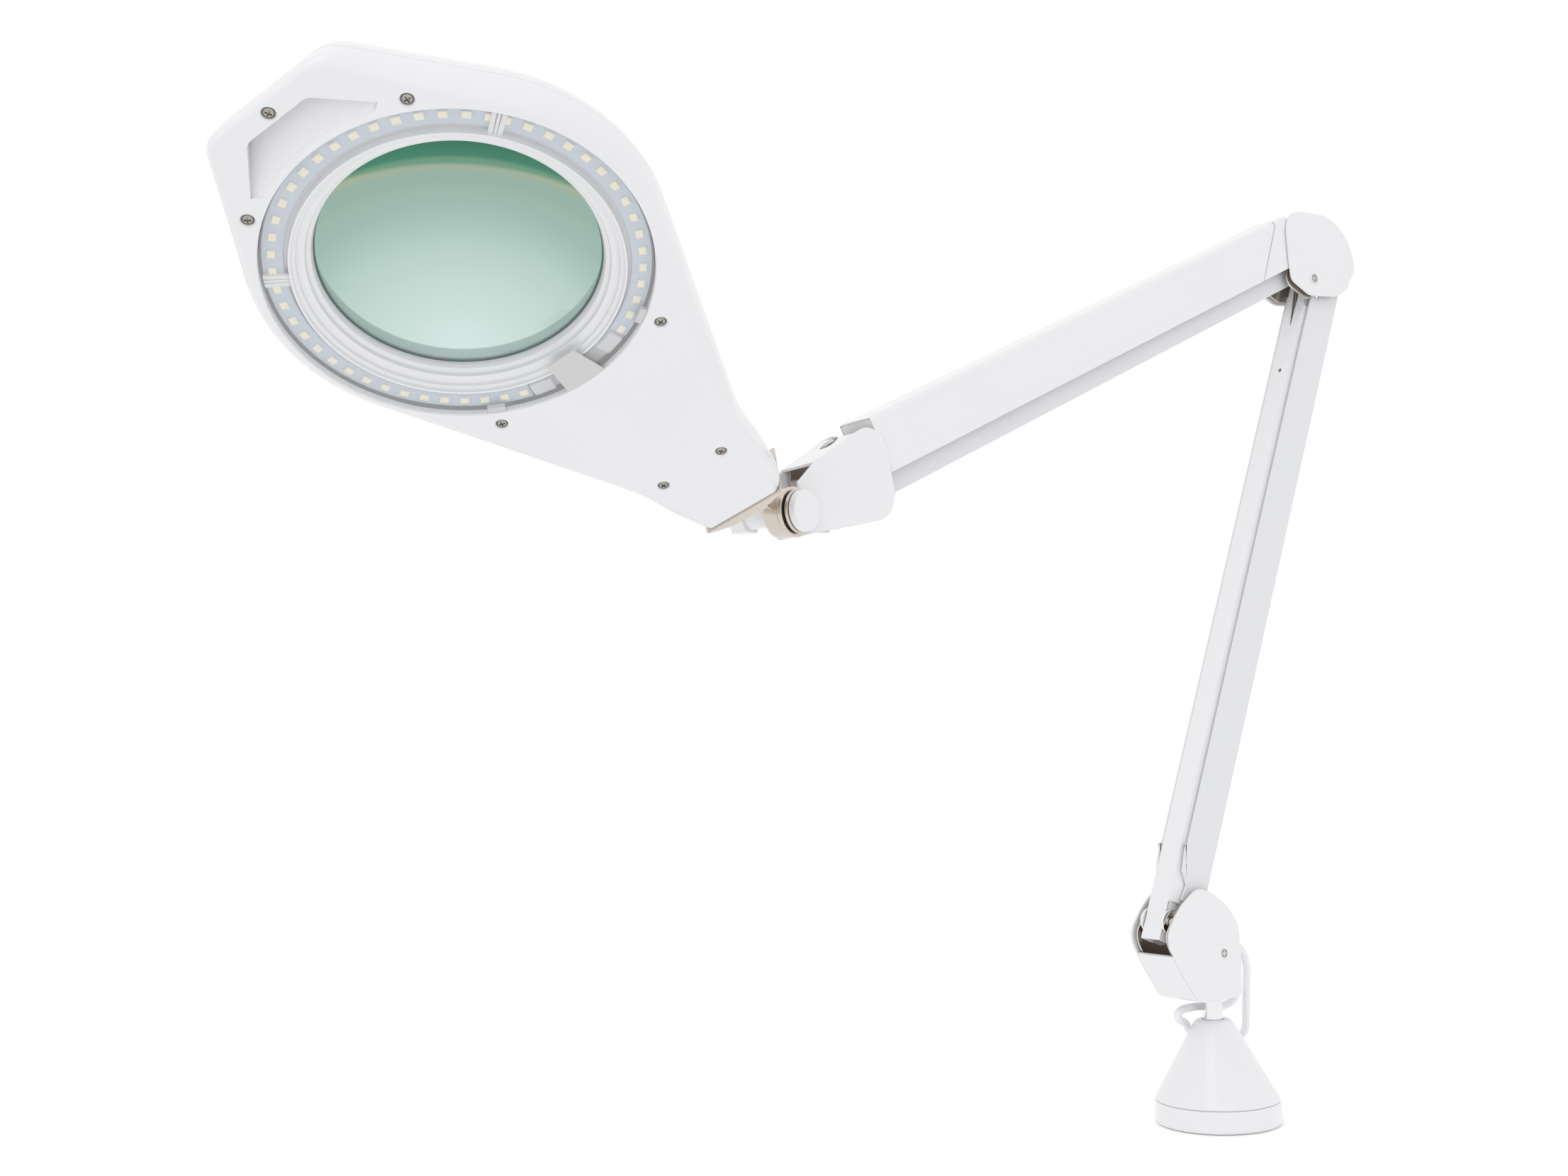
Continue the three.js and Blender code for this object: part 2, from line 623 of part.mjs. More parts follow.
function lowerHousing() {
  const pocketTop = 8;
  const bosses = screwSpots.map(([x, y]) => rodZ(x, y, 5.2, faceZ + 1, 9.5, 10));
  const walls = join(
    cut(
      layer(headShape(0), faceZ, partingZ - GAP, 9),
      layer(headShape(headWall, neckEnd - headWall), faceZ + headWall, 20, 9),
    ),
    layer(gripShape(1.6), faceZ + 0.4, pocketTop),
    ...bosses,
  );
  return cut(
    walls,
    rodZ(0, 0, openingRadius, faceZ - 1, 20, 40),
    layer(gripShape(0), faceZ - 1, pocketTop - 1.6),
    ...screwSpots.map(([x, y]) => rodZ(x, y, 3.6, faceZ - 1, faceZ + 2.4, 12)),
    ...screwSpots.map(([x, y]) => rodZ(x, y, 1.8, faceZ, 12, 8)),
  );
}

// the top shell: full outline at the parting line, rounded over to the top, cut square at the neck's end
function domeSolid(inset, end) {
  const rim = 9;
  const rise = 10;
  const flat = topZ - inset - rise - partingZ;
  const geometry = new THREE.ExtrudeGeometry(headShape(inset, end + rim), {
    depth: flat, bevelEnabled: true, bevelThickness: rise, bevelSize: rim, bevelOffset: -rim,
    bevelSegments: 2, curveSegments: 9,
  });
  geometry.translate(0, 0, partingZ);
  return cut(geometry, box(-200, 300, -150, 150, -50, partingZ), box(end, 300, -150, 150, -50, 60));
}

function upperHousing() {
  const funnelRadius = 64.8;
  const funnelFoot = 12.4;
  const shell = cut(domeSolid(0, neckEnd), domeSolid(headWall, neckEnd - headWall));
  const funnel = rodZ(0, 0, funnelRadius, funnelFoot, topZ - 1, 40);
  return cut(
    join(shell, funnel),
    rodZ(0, 0, funnelRadius - 2.3, 0, topZ + 5, 40),
    rodX(0, neckLift, stubRadius + 1.5 * GAP, 190, 220),
    rodZ(switchX, 0, 5.4, 20, topZ + 5, 14),
  );
}

// the white ring around the lens, stepping down from the lens to the LED track
const bezelProfile = [
  [63.4, 8.2], [65.35, 8.2], [65.35, 11.8], [67.4, 11.8], [67.4, 5.2], [71, 3.6], [85, 3.6],
  [85, 1.9], [73.6, 1.9], [73.6, -3.4], [72, -3.4], [72, -0.8], [69.2, 0.4], [69.2, 2.6],
  [66, 3.6], [66, 5.4], [63.4, 6.2],
];

function lensSolid() {
  const sag = 5.8;
  const dome = lensRadius - 1.4;
  const low = 8.5;
  const high = 11.5;
  const steps = 3;
  const surface = (z, direction, outward) => Array.from({ length: steps + 1 }, (_, i) => {
    const r = dome * (outward ? i : steps - i) / steps;
    return [r, z + direction * sag * (1 - (r / dome) ** 2)];
  });
  const edge = [[lensRadius, low], [lensRadius, high]];
  const profile = [...surface(low, -1, true), ...edge, ...surface(high, 1, false)];
  return turned(profile, 32);
}

function ledBoard(first, step) {
  const inner = 75.3;
  const outer = 84.9;
  const last = first + step * (ledsPerBoard - 1);
  const margin = ledPitch * 0.33;
  const low = Math.min(first, last) - margin;
  const high = Math.max(first, last) + margin;
  const sector = new THREE.Shape();
  sector.absarc(0, 0, outer, low, high);
  sector.absarc(0, 0, inner, high, low, true);
  sector.closePath();
  const leds = Array.from({ length: ledsPerBoard }, (_, i) => {
    const angle = first + step * i;
    return new THREE.BoxGeometry(2.8, 3.5, 1.2)
      .translate(ledRadius, 0, -0.4)
      .rotateZ(angle);
  });
  return join(layer(sector, 0, 1.6, 5), ...leds);
}

function buildHead(head) {
  place(head, 'head_lower_housing', lowerHousing(), white);
  place(head, 'head_upper_housing', upperHousing(), white);
  place(head, 'lens', lensSolid(), glass);
  place(head, 'lens_bezel', turned(bezelProfile, 36), white);
  place(head, 'diffuser_ring', turned([[73.9, -4.4], [85.1, -4.4], [85.1, -2.4], [73.9, -2.4]], 36), clear);
  place(head, 'led_board_1', ledBoard(deg(130.2), ledPitch), board);
  place(head, 'led_board_2', ledBoard(deg(236.3), ledPitch), board);
  place(head, 'led_board_3', ledBoard(deg(123), -ledPitch), board);

  place(head, 'driver_board', join(box(118, 156, -14, 14, 2, 3.6), box(124, 146, -8, 8, 3.4, 9)), board);
  place(head, 'neck_plate', cut(
    layer(shapeOf([
      [neckEnd + GAP, -24], [214, -24], [217, -16], [218.7, -7], [218.7, 7], [217, 16], [214, 24],
      [neckEnd + GAP, 24],
    ]), faceZ + 0.6, topZ - 0.5),
    rodX(0, neckLift, stubRadius + GAP, 200, 220),
  ), nickel);
  place(head, 'switch_button', join(
    rodZ(switchX, 0, 5, topZ - 5, topZ + 2.5),
    rodZ(switchX, 0, 6.4, topZ - 5, topZ - headWall - GAP),
  ), whiteMatt);

  screwSpots.forEach(([x, y], i) => place(
    head,
    `head_screw_${i + 1}`,
    join(rodZ(x, y, 3.1, faceZ + 0.3, faceZ + 2, 10), rodZ(x, y, 1.5, faceZ + 1, 8.5, 6)),
    steel,
  ));
}

buildBase();
buildKnuckle();
buildLowerArm();
buildElbow();
buildUpperArm();
buildFork();
buildHead(buildJoint());

export default lamp;
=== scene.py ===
"""Looks of the magnifying lamp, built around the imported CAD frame.

Lengths are millimetres, turned into metres when a piece is placed. What is tilted or turned is made in a
frame of its own, and the rest in the lamp's frame."""
from math import acos, atan2, cos, hypot, pi, radians, sin, sqrt

import bmesh
import bpy
from mathutils import Matrix, Vector


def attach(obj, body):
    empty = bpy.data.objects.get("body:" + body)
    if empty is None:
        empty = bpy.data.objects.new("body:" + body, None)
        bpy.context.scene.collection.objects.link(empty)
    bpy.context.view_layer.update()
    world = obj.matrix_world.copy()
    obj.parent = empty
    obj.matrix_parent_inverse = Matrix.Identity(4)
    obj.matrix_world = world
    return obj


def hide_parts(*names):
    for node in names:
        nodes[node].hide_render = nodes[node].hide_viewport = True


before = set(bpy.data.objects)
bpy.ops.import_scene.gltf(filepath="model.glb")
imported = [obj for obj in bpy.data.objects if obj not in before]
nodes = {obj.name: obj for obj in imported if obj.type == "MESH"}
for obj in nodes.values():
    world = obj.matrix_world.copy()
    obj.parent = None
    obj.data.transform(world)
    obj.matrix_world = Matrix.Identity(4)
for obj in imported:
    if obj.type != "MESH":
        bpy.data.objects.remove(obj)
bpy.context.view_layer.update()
scene = bpy.context.scene
MM = 0.001

# ---------------------------------------------------------------- driving dimensions, as in the CAD part
skirt_radius, skirt_height, cone_top, spigot_radius, spigot_bore = 40, 13.8, 64.7, 6.35, 4.2
lower_tilt, lower_length = radians(22.54), 477
lower_pivot, lower_bar_pivot = (-32, 0, 122.7), (-43.78, 0, 130.84)
channel_in, channel_out, channel_back, channel_front = 10.2, 11.7, 9.2, -17.1
bar_front, bar_half, bar_sheet = -19.5, 7.9, 1.5
spring_radius, spring_wire, spring_low, spring_high, spring_turns = 2.8, 0.55, 60, 230, 90
upper_slope, upper_pivot = radians(24.48), (123.5, 0, 596.3)
hood_half, hood_top, hood_under, hood_wall, hood_front, sleeve_back = 15, 18.7, -15.6, 1.4, -426, -16
swivel_x, joint_z, swivel_reach = -296, 378.8, 40.5
swivel_angle, tilt_angle, roll_angle = radians(17.9), radians(25.07), radians(-25.08)
head_reach, neck_lift = 251, 19.4
face_z, parting_z, top_z = -5, 10, 26.5
round_radius, opening_radius, neck_end = 94.5, 85.8, 212
cover_in, cover_out = 15.2, 16.8
plate_in, plate_out = 12, 13.3
lens_radius, bezel_out, drum_bore = 65, 73.6, 4.3
led_radius, led_pitch, leds_per_board = 80.5, radians(6.76), 16
FINE, MEDIUM, COARSE = 160, 96, 48                              # sides of large, middling and small rounds

# ---------------------------------------------------------------- frames
def shift(x, y, z):
    return Matrix.Translation((x, y, z))


def turn(angle, axis):
    return Matrix.Rotation(angle, 4, axis)


LAMP = Matrix.Identity(4)
LOWER = shift(*lower_pivot) @ turn(lower_tilt, "Y")             # +z along the lower arm
UPPER = shift(*upper_pivot) @ turn(-upper_slope, "Y")           # -x along the upper arm, +z its top
LYING = UPPER @ turn(-pi / 2, "Y")                              # +z along the upper arm, +x its top
SWIVEL = shift(swivel_x, 0, joint_z) @ turn(swivel_angle, "Z")
TILT = SWIVEL @ shift(-swivel_reach, 0, 0) @ turn(tilt_angle, "Y")
HEAD = TILT @ turn(roll_angle, "X") @ shift(-head_reach, 0, -neck_lift)


# ---------------------------------------------------------------- camera
def make_camera():
    azimuth, elevation, roll = radians(-34.471), radians(-4.675), radians(-2.045)
    spot = Vector((-866.0, -788.07, 261.14))
    back = Vector((sin(azimuth) * cos(elevation), -cos(azimuth) * cos(elevation), sin(elevation)))
    right = Vector((cos(azimuth), sin(azimuth), 0))
    up = back.cross(right)
    level = Matrix((right, up, back)).transposed().to_4x4()
    camera = bpy.data.objects.new("camera", bpy.data.cameras.new("camera"))
    camera.data.sensor_width, camera.data.lens = 36, 39.69
    camera.data.clip_start, camera.data.clip_end = 0.02, 40
    camera.matrix_world = Matrix.Translation(spot * MM) @ level @ turn(roll, "Z")
    scene.collection.objects.link(camera)
    scene.camera = camera


make_camera()


# ---------------------------------------------------------------- materials
def plastic(name, color, roughness, grain=900, bump=0.02, metallic=0, coat=0, spread=0.012,
            stretch=(1, 1, 1)):
    """moulded or coated surface: slight colour and gloss variation, and a fine texture"""
    made = bpy.data.materials.new(name)
    made.use_nodes = True
    tree = made.node_tree
    shader = tree.nodes["Principled BSDF"]
    shader.inputs["Metallic"].default_value = metallic
    shader.inputs["Coat Weight"].default_value = coat
    shader.inputs["Coat Roughness"].default_value = 0.08
    place = tree.nodes.new("ShaderNodeTexCoord")
    sized = tree.nodes.new("ShaderNodeMapping")
    sized.inputs["Scale"].default_value = stretch
    tree.links.new(place.outputs["Object"], sized.inputs["Vector"])
    fine, broad = tree.nodes.new("ShaderNodeTexNoise"), tree.nodes.new("ShaderNodeTexNoise")
    fine.inputs["Scale"].default_value = grain
    broad.inputs["Scale"].default_value = 14
    for noise in (fine, broad):
        tree.links.new(sized.outputs["Vector"], noise.inputs["Vector"])
    ramp = tree.nodes.new("ShaderNodeValToRGB")
    for element, change in zip(ramp.color_ramp.elements, (-spread, spread)):
        element.color = (*[min(1, max(0, value + change)) for value in color], 1)
    tree.links.new(broad.outputs["Fac"], ramp.inputs["Fac"])
    tree.links.new(ramp.outputs["Color"], shader.inputs["Base Color"])
    gloss = tree.nodes.new("ShaderNodeMapRange")
    gloss.inputs["To Min"].default_value = roughness * 0.85
    gloss.inputs["To Max"].default_value = roughness * 1.15
    tree.links.new(fine.outputs["Fac"], gloss.inputs["Value"])
    tree.links.new(gloss.outputs["Result"], shader.inputs["Roughness"])
    relief = tree.nodes.new("ShaderNodeBump")
    relief.inputs["Strength"].default_value = bump
    relief.inputs["Distance"].default_value = 0.0002
    tree.links.new(fine.outputs["Fac"], relief.inputs["Height"])
    tree.links.new(relief.outputs["Normal"], shader.inputs["Normal"])
    return made


def lens_material():
    """sea-green glass in its own tint, with painted shade that deepens away from one point, a thin painted
    amber reflection and a dark green crescent of painted shade at the far edge
    """
    made = plastic("lens_glass", (0.66, 0.82, 0.78), 0.01, bump=0, spread=0)
    tree = made.node_tree
    shader = tree.nodes["Principled BSDF"]
    shader.inputs["IOR"].default_value = 1.45
    shader.inputs["Transmission Weight"].default_value = 1
    painted_shade_centre = HEAD @ Vector((38.7, 36, 10))                    # painted shade deepens away from this point; its dark crescent is an arc about it
    reach = 0.115                                               # metres from there to beyond the lens
    offset, span = tree.nodes.new("ShaderNodeVectorMath"), tree.nodes.new("ShaderNodeMapRange")
    offset.operation = "DISTANCE"
    offset.inputs[1].default_value = painted_shade_centre * MM
    span.inputs["From Max"].default_value = reach
    tree.links.new(tree.nodes["Texture Coordinate"].outputs["Object"], offset.inputs[0])
    tree.links.new(offset.outputs["Value"], span.inputs["Value"])
    ramp = tree.nodes["Color Ramp"]
    tree.links.new(span.outputs["Result"], ramp.inputs["Fac"])
    # the stops paint shade: palest green at the point, deeper further off, a thin painted amber reflection at
    # 0.893, then the dark green crescent of painted shade from 0.91
    stops = ramp.color_ramp.elements
    stops[0].color = (0.66, 0.80, 0.77, 1)
    stops[1].position, stops[1].color = 0.99, (0.02, 0.17, 0.10, 1)
    for position, color in ((0.30, (0.56, 0.71, 0.66)), (0.50, (0.47, 0.63, 0.58)),
                            (0.70, (0.33, 0.48, 0.42)), (0.86, (0.30, 0.45, 0.38)),
                            (0.893, (0.42, 0.47, 0.30)), (0.91, (0.05, 0.24, 0.15))):
        stops.new(position).color = (*color, 1)
    return made


def clear_material(name, color, cover):
    made = plastic(name, color, 0.12, spread=0.01)
    made.node_tree.nodes["Principled BSDF"].inputs["Alpha"].default_value = cover
    made.surface_render_method = "BLENDED"
    return made


WHITE, GREY = (0.80, 0.803, 0.82), (0.74, 0.745, 0.77)
MATERIALS = {
    "white_plastic": plastic("white_plastic", WHITE, 0.26, coat=0.25),
    "grey_paint": plastic("grey_paint", GREY, 0.34, grain=1500, bump=0.05),
    "steel": plastic("steel", (0.42, 0.42, 0.43), 0.34, metallic=1, stretch=(1, 1, 0.1), bump=0.05),
    "nickel": plastic("nickel", (0.66, 0.60, 0.54), 0.24, metallic=1, stretch=(0.15, 1, 1), bump=0.06,
                      spread=0.03),
    "screw_steel": plastic("screw_steel", (0.42, 0.39, 0.36), 0.30, metallic=1, bump=0.08, spread=0.05),
    "nylon": plastic("nylon", (0.72, 0.70, 0.64), 0.5),
    "black_plastic": plastic("black_plastic", (0.035, 0.032, 0.032), 0.5),
    "lead_sheath": plastic("lead_sheath", (0.84, 0.845, 0.87), 0.42, grain=600, bump=0.05),
    "lens_glass": lens_material(),
    "clear_plastic": clear_material("clear_plastic", (0.93, 0.94, 0.95), 0.16),
    "board": plastic("board", (0.56, 0.63, 0.71), 0.5, grain=1200, bump=0.04, spread=0.02),
    "button_plastic": plastic("button_plastic", (0.80, 0.80, 0.82), 0.45),
}
CHROME = plastic("chrome", (0.86, 0.86, 0.87), 0.10, metallic=1, bump=0.02)
PACKAGE = plastic("led_package", (0.86, 0.86, 0.84), 0.4)
PHOSPHOR = plastic("led_phosphor", (1.0, 0.90, 0.62), 0.45, grain=4000, bump=0.1, spread=0.03)
LABEL = plastic("label_grey", (0.60, 0.60, 0.61), 0.35)
PAD_CLEAR = clear_material("pad_clear", (0.9, 0.91, 0.93), 0.5)


# ---------------------------------------------------------------- outlines
def rounded(points, radius, steps=4):
    """a closed outline with each corner turned into a short curve; radius may be a list, one per corner"""
    points = [Vector(point) for point in points]
    radii = radius if isinstance(radius, (list, tuple)) else [radius] * len(points)
    result = []
    for i, corner in enumerate(points):
        before, after = points[i - 1] - corner, points[(i + 1) % len(points)] - corner
        start = corner + before.normalized() * min(radii[i], before.length * 0.45)
        end = corner + after.normalized() * min(radii[i], after.length * 0.45)
        if radii[i] == 0:
            result.append(corner)
            continue
        for step in range(steps + 1):
            t = step / steps
            result.append(start * (1 - t) ** 2 + corner * 2 * t * (1 - t) + end * t * t)
    return result


def arc(x, y, radius, first, last, steps):
    return [Vector((x + radius * cos(first + (last - first) * i / steps),
                    y + radius * sin(first + (last - first) * i / steps))) for i in range(steps + 1)]


def dense(points, step=1.5):
    result = []
    for i, start in enumerate(points):
        end = points[(i + 1) % len(points)]
        count = max(1, round((end - start).length / step))
        result += [start.lerp(end, k / count) for k in range(count)]
    return result


def counter_clockwise(points):
    points = [Vector(point) for point in points]
    area = sum(points[i - 1].x * p.y - p.x * points[i - 1].y for i, p in enumerate(points))
    return points if area > 0 else points[::-1]


def inset(points, distance):
    """every side of a counter-clockwise outline moved inwards"""
    result = []
    for i, point in enumerate(points):
        one = (point - points[i - 1]).normalized()
        two = (points[(i + 1) % len(points)] - point).normalized()
        push = Vector((-one.y - two.y, one.x + two.x))
        result.append(point + push * (distance / max(0.4, 1 + one.dot(two))))
    return result


# ---------------------------------------------------------------- solids, as (vertices, faces)
def loft(rings, closed=False):
    count = len(rings[0])
    vertices = [Vector(vertex) for ring in rings for vertex in ring]
    faces = []
    for level in range(len(rings) if closed else len(rings) - 1):
        low, high = level * count, (level + 1) % len(rings) * count
        faces += [(low + i, low + (i + 1) % count, high + (i + 1) % count, high + i) for i in range(count)]
    if not closed:
        faces.append(tuple(reversed(range(count))))
        faces.append(tuple(range(len(vertices) - count, len(vertices))))
    return vertices, faces


def prism(outline, low, high, edge=0.6, steps=3):
    """a flat outline made solid from low to high, its rims rounded"""
    outline = counter_clockwise(outline)
    if edge == 0:
        return loft([[(p.x, p.y, z) for p in outline] for z in (low, high)])
    turns = [pi / 2 * step / steps for step in range(steps + 1)]
    levels = [(edge * (1 - sin(a)), low + edge * (1 - cos(a))) for a in turns]
    levels += [(edge * (1 - sin(a)), high - edge * (1 - cos(a))) for a in reversed(turns)]
    return loft([[(p.x, p.y, z) for p in inset(outline, depth)] for depth, z in levels])


def lathe(profile, sides=96, edge=0.3):
    """a closed [radius, z] outline turned about z, its corners rounded except on the axis"""
    points = rounded(profile, [0 if r <= 0 else edge for r, _ in profile], 3)
    rings = []
    for side in range(sides):
        angle = 2 * pi * side / sides
        rings.append([(p.x * cos(angle), p.x * sin(angle), p.y) for p in points])
    return loft(rings, closed=True)


def disc(radius, low, high, edge=0.4, sides=72):
    return lathe([(0, low), (radius, low), (radius, high), (0, high)], sides, edge)


def collar(inner, outer, low, high, sides=96, edge=0.3):
    """a ring about z, from its inner to its outer radius"""
    return lathe([(inner, low), (outer, low), (outer, high), (inner, high)], sides, edge)


def band(outline, keep, thickness, low, high, edge=0.3):
    """a wall that follows the part of an outline that keep() accepts"""
    outline = dense(counter_clockwise(outline))
    inner = inset(outline, thickness)
    count = len(outline)
    start = next(i for i in range(count) if keep(outline[i]) and not keep(outline[i - 1]))
    run = []
    while keep(outline[(start + len(run)) % count]) and len(run) < count:
        run.append((start + len(run)) % count)
    return prism([outline[i] for i in run] + [inner[i] for i in reversed(run)], low, high, edge)


def block(x_low, x_high, y_low, y_high, z_low, z_high, edge=0.5):
    corners = rounded([(x_low, y_low), (x_high, y_low), (x_high, y_high), (x_low, y_high)], edge, 3)
    return prism(corners, z_low, z_high, edge * 0.9)


def moved(solid, matrix):
    return [matrix @ vertex for vertex in solid[0]], solid[1]


def coil(radius, wire, low, high, turns, sides=6, steps=14):
    rings = []
    for i in range(turns * steps + 1):
        angle = 2 * pi * i / steps
        z = low + (high - low) * i / (turns * steps)
        out = Vector((cos(angle), sin(angle), 0))
        around = [2 * pi * k / sides for k in range(sides)]
        rings.append([out * (radius + wire * cos(a)) + Vector((0, 0, z + wire * sin(a))) for a in around])
    return loft(rings)


# ---------------------------------------------------------------- pieces
def solid_object(name, solids, place):
    mesh = bpy.data.meshes.new(name)
    work = bmesh.new()
    for vertices, faces in solids:
        made = [work.verts.new(vertex) for vertex in vertices]
        for face in faces:
            work.faces.new([made[i] for i in face])
        bmesh.ops.remove_doubles(work, verts=made, dist=1e-5)
    bmesh.ops.recalc_face_normals(work, faces=work.faces)
    work.to_mesh(mesh)
    work.free()
    mesh.transform(Matrix.Scale(MM, 4) @ place)
    made = bpy.data.objects.new(name, mesh)
    scene.collection.objects.link(made)
    return made


def carve(target, *tools):
    """takes the tools' volume out of the target and removes the tools"""
    for tool in tools:
        step = target.modifiers.new("carve", "BOOLEAN")
        step.operation, step.object, step.solver = "DIFFERENCE", tool, "EXACT"
    graph = bpy.context.evaluated_depsgraph_get()
    target.data = bpy.data.meshes.new_from_object(target.evaluated_get(graph))
    target.modifiers.clear()
    for tool in tools:
        bpy.data.objects.remove(tool)
    return target


def smooth(made, crease):
    made.data.polygons.foreach_set("use_smooth", [True] * len(made.data.polygons))
    made.data.set_sharp_from_angle(angle=radians(crease))
    weight = made.modifiers.new("weight", "WEIGHTED_NORMAL")
    weight.keep_sharp = True


def dress(made, slot, body, replaced=(), material=None, crease=40):
    made.data.materials.clear()
    made.data.materials.append(material or MATERIALS[slot])
    smooth(made, crease)
    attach(made, body)
    if replaced:
        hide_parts(*replaced)
    return made


def piece(name, solids, place, slot, body, replaced=(), material=None, crease=40):
    return dress(solid_object(name, solids, place), slot, body, replaced, material, crease)


SIDE_ON = turn(pi / 2, "X")                                     # from an outline's x and y to x and z
SIDES = (("near", 1), ("far", -1))                              # the sign of z in a side-on frame


def both_sides(make, inner, outer):
    """the same outline on the near and the far side, from inner to outer"""
    return [make(inner, outer), make(-outer, -inner)]


def on_side(sign, inner, outer):
    """the low and high end of what reaches from inner to outer on one side"""
    return sorted((sign * inner, sign * outer))


def cross_screw(radius, height):
    """a pan head with a cross recess, its top at z = 0"""
    head = [(0, -height), (radius, -height), (radius, -0.35 * height), (radius * 0.6, 0), (0, 0)]
    made = solid_object("screw", [lathe(head, 40, radius * 0.2)], LAMP)
    arm, half, depth = radius * 0.62, radius * 0.13, height * 0.6
    quarter, cross = [(half, half), (arm, half), (arm, -half)], []
    for _ in range(4):
        cross += quarter
        quarter = [(y, -x) for x, y in quarter]
    return carve(made, solid_object("tool", [prism(cross, -depth, 1, 0)], LAMP))


def screw(name, radius, height, place, body, replaced=()):
    made = cross_screw(radius, height)
    made.name = name
    made.data.transform(Matrix.Scale(MM, 4) @ place @ Matrix.Scale(1 / MM, 4))
    return dress(made, "screw_steel", body, replaced)


# ---------------------------------------------------------------- supply lead
def smooth_path(points, steps=6):
    """Catmull-Rom curve through the points"""
    points = [Vector(point) for point in points]
    ends = [2 * points[0] - points[1], *points, 2 * points[-1] - points[-2]]
    path = []
    for a, b, c, d in zip(ends, ends[1:], ends[2:], ends[3:]):
        for i in range(steps):
            t = i / steps
            path.append(0.5 * (2 * b + (c - a) * t + (2 * a - 5 * b + 4 * c - d) * t ** 2
                               + (3 * b - a - 3 * c + d) * t ** 3))
    return [*path, points[-1]]


def make_lead():
    """out of the knuckle's back, down behind the cone, into a loop behind the spigot and in lower down"""
    path = smooth_path([(11, 0, 112), (24, 0, 110), (32, 0, 103), (34.6, 0, 93), (34.6, 1, 81), (35.5, 3, 69),
                        (38, 6, 59), (41, 11, 50), (40, 20, 44), (32, 29, 42), (20, 32, 45), (8, 28, 52),
                        (-3, 20.5, 59), (-12.5, 14, 62.5), (-19.4, 10.4, 64.9), (-22.4, 9.6, 68.2),
                        (-18.8, 9.8, 71.2), (-9.5, 10.2, 71.8), (2, 11.6, 71), (12, 12, 69.6), (21, 10, 69.4),
                        (26.4, 6, 73), (27, 3, 80), (22, 1, 88), (11, 0, 92)])
    curve = bpy.data.curves.new("lead", "CURVE")
    curve.dimensions = "3D"
    curve.bevel_depth = 2.5 * MM
    curve.bevel_resolution = 5
    curve.use_fill_caps = True
    line = curve.splines.new("POLY")
    line.points.add(len(path) - 1)
    for point, place in zip(line.points, path):
        point.co = (*(place * MM), 1)
    lead = bpy.data.objects.new("lead", curve)
    scene.collection.objects.link(lead)
    curve.materials.append(MATERIALS["lead_sheath"])
    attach(lead, "knuckle")
    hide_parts("supply_lead")


# ---------------------------------------------------------------- base
def make_base():
    foot = [(37.8, 0), (39.4, 0), (skirt_radius, 1.5), (skirt_radius, 12.9), (39.2, skirt_height),
            (37.8, skirt_height)]
    piece("base_foot", [lathe(foot, FINE, 0.5)], LAMP, "white_plastic", "base", ["base_skirt"])
    cone = [(39.2, 13.9), (39.2, 15.4), (11.9, 63.6), (10.2, cone_top), (6.95, cone_top), (6.95, 62.5),
            (9.9, 62.5), (36.6, 13.9)]
    piece("base_shell", [lathe(cone, FINE, 0.9)], LAMP, "white_plastic", "base", ["base_cone"])
    tube = collar(spigot_bore, spigot_radius, 10, 93.7, MEDIUM, 0.4)
    piece("spigot_tube", [tube], LAMP, "nickel", "knuckle", ["spigot"], CHROME)


# ---------------------------------------------------------------- knuckle
LEAF = [(-26.5, 151.6), (-13.5, 148), (2, 137.5), (10.5, 125), (11, 108), (10.6, 92), (10, 80), (-4, 79.2),
        (-25.5, 79.2), (-31, 81.5), (-45.2, 101.4), (-53.8, 117), (-54.6, 125), (-46, 136.5), (-38.9, 143.5)]
LEAF_CORNERS = [6, 7, 7, 7, 5, 5, 3.5, 5, 3, 3, 7, 5, 6, 5, 5]


def make_knuckle():
    leaf = counter_clockwise(rounded(LEAF, LEAF_CORNERS, 5))
    floor = band(leaf, lambda p: p.y < (110.5 if p.x < -20 else 116), 1.6, -cover_in, cover_in)
    skins = both_sides(lambda low, high: prism(leaf, low, high, 0.75, 4), cover_in, cover_out)
    piece("knuckle_shell", [*skins, floor], SIDE_ON, "white_plastic", "knuckle", ["knuckle_cover"])
    pivot = shift(*lower_bar_pivot) @ SIDE_ON
    for side, sign in SIDES:
        cheek = prism(inset(leaf, 2), *on_side(sign, plate_in, plate_out), 0.25)
        piece(f"knuckle_cheek_{side}", [cheek], SIDE_ON, "nickel", "knuckle", [f"knuckle_plate_{side}"])
        washer = collar(3.3, 8, *on_side(sign, 8.2, 9.8), COARSE, 0.5)
        piece(f"bar_washer_{side}", [washer], pivot, "nickel", "knuckle", (), CHROME)
    screw("knuckle_cover_screw", 3.6, 1.4, shift(-4.7, -(cover_out + 0.25), 108.3) @ SIDE_ON, "knuckle")


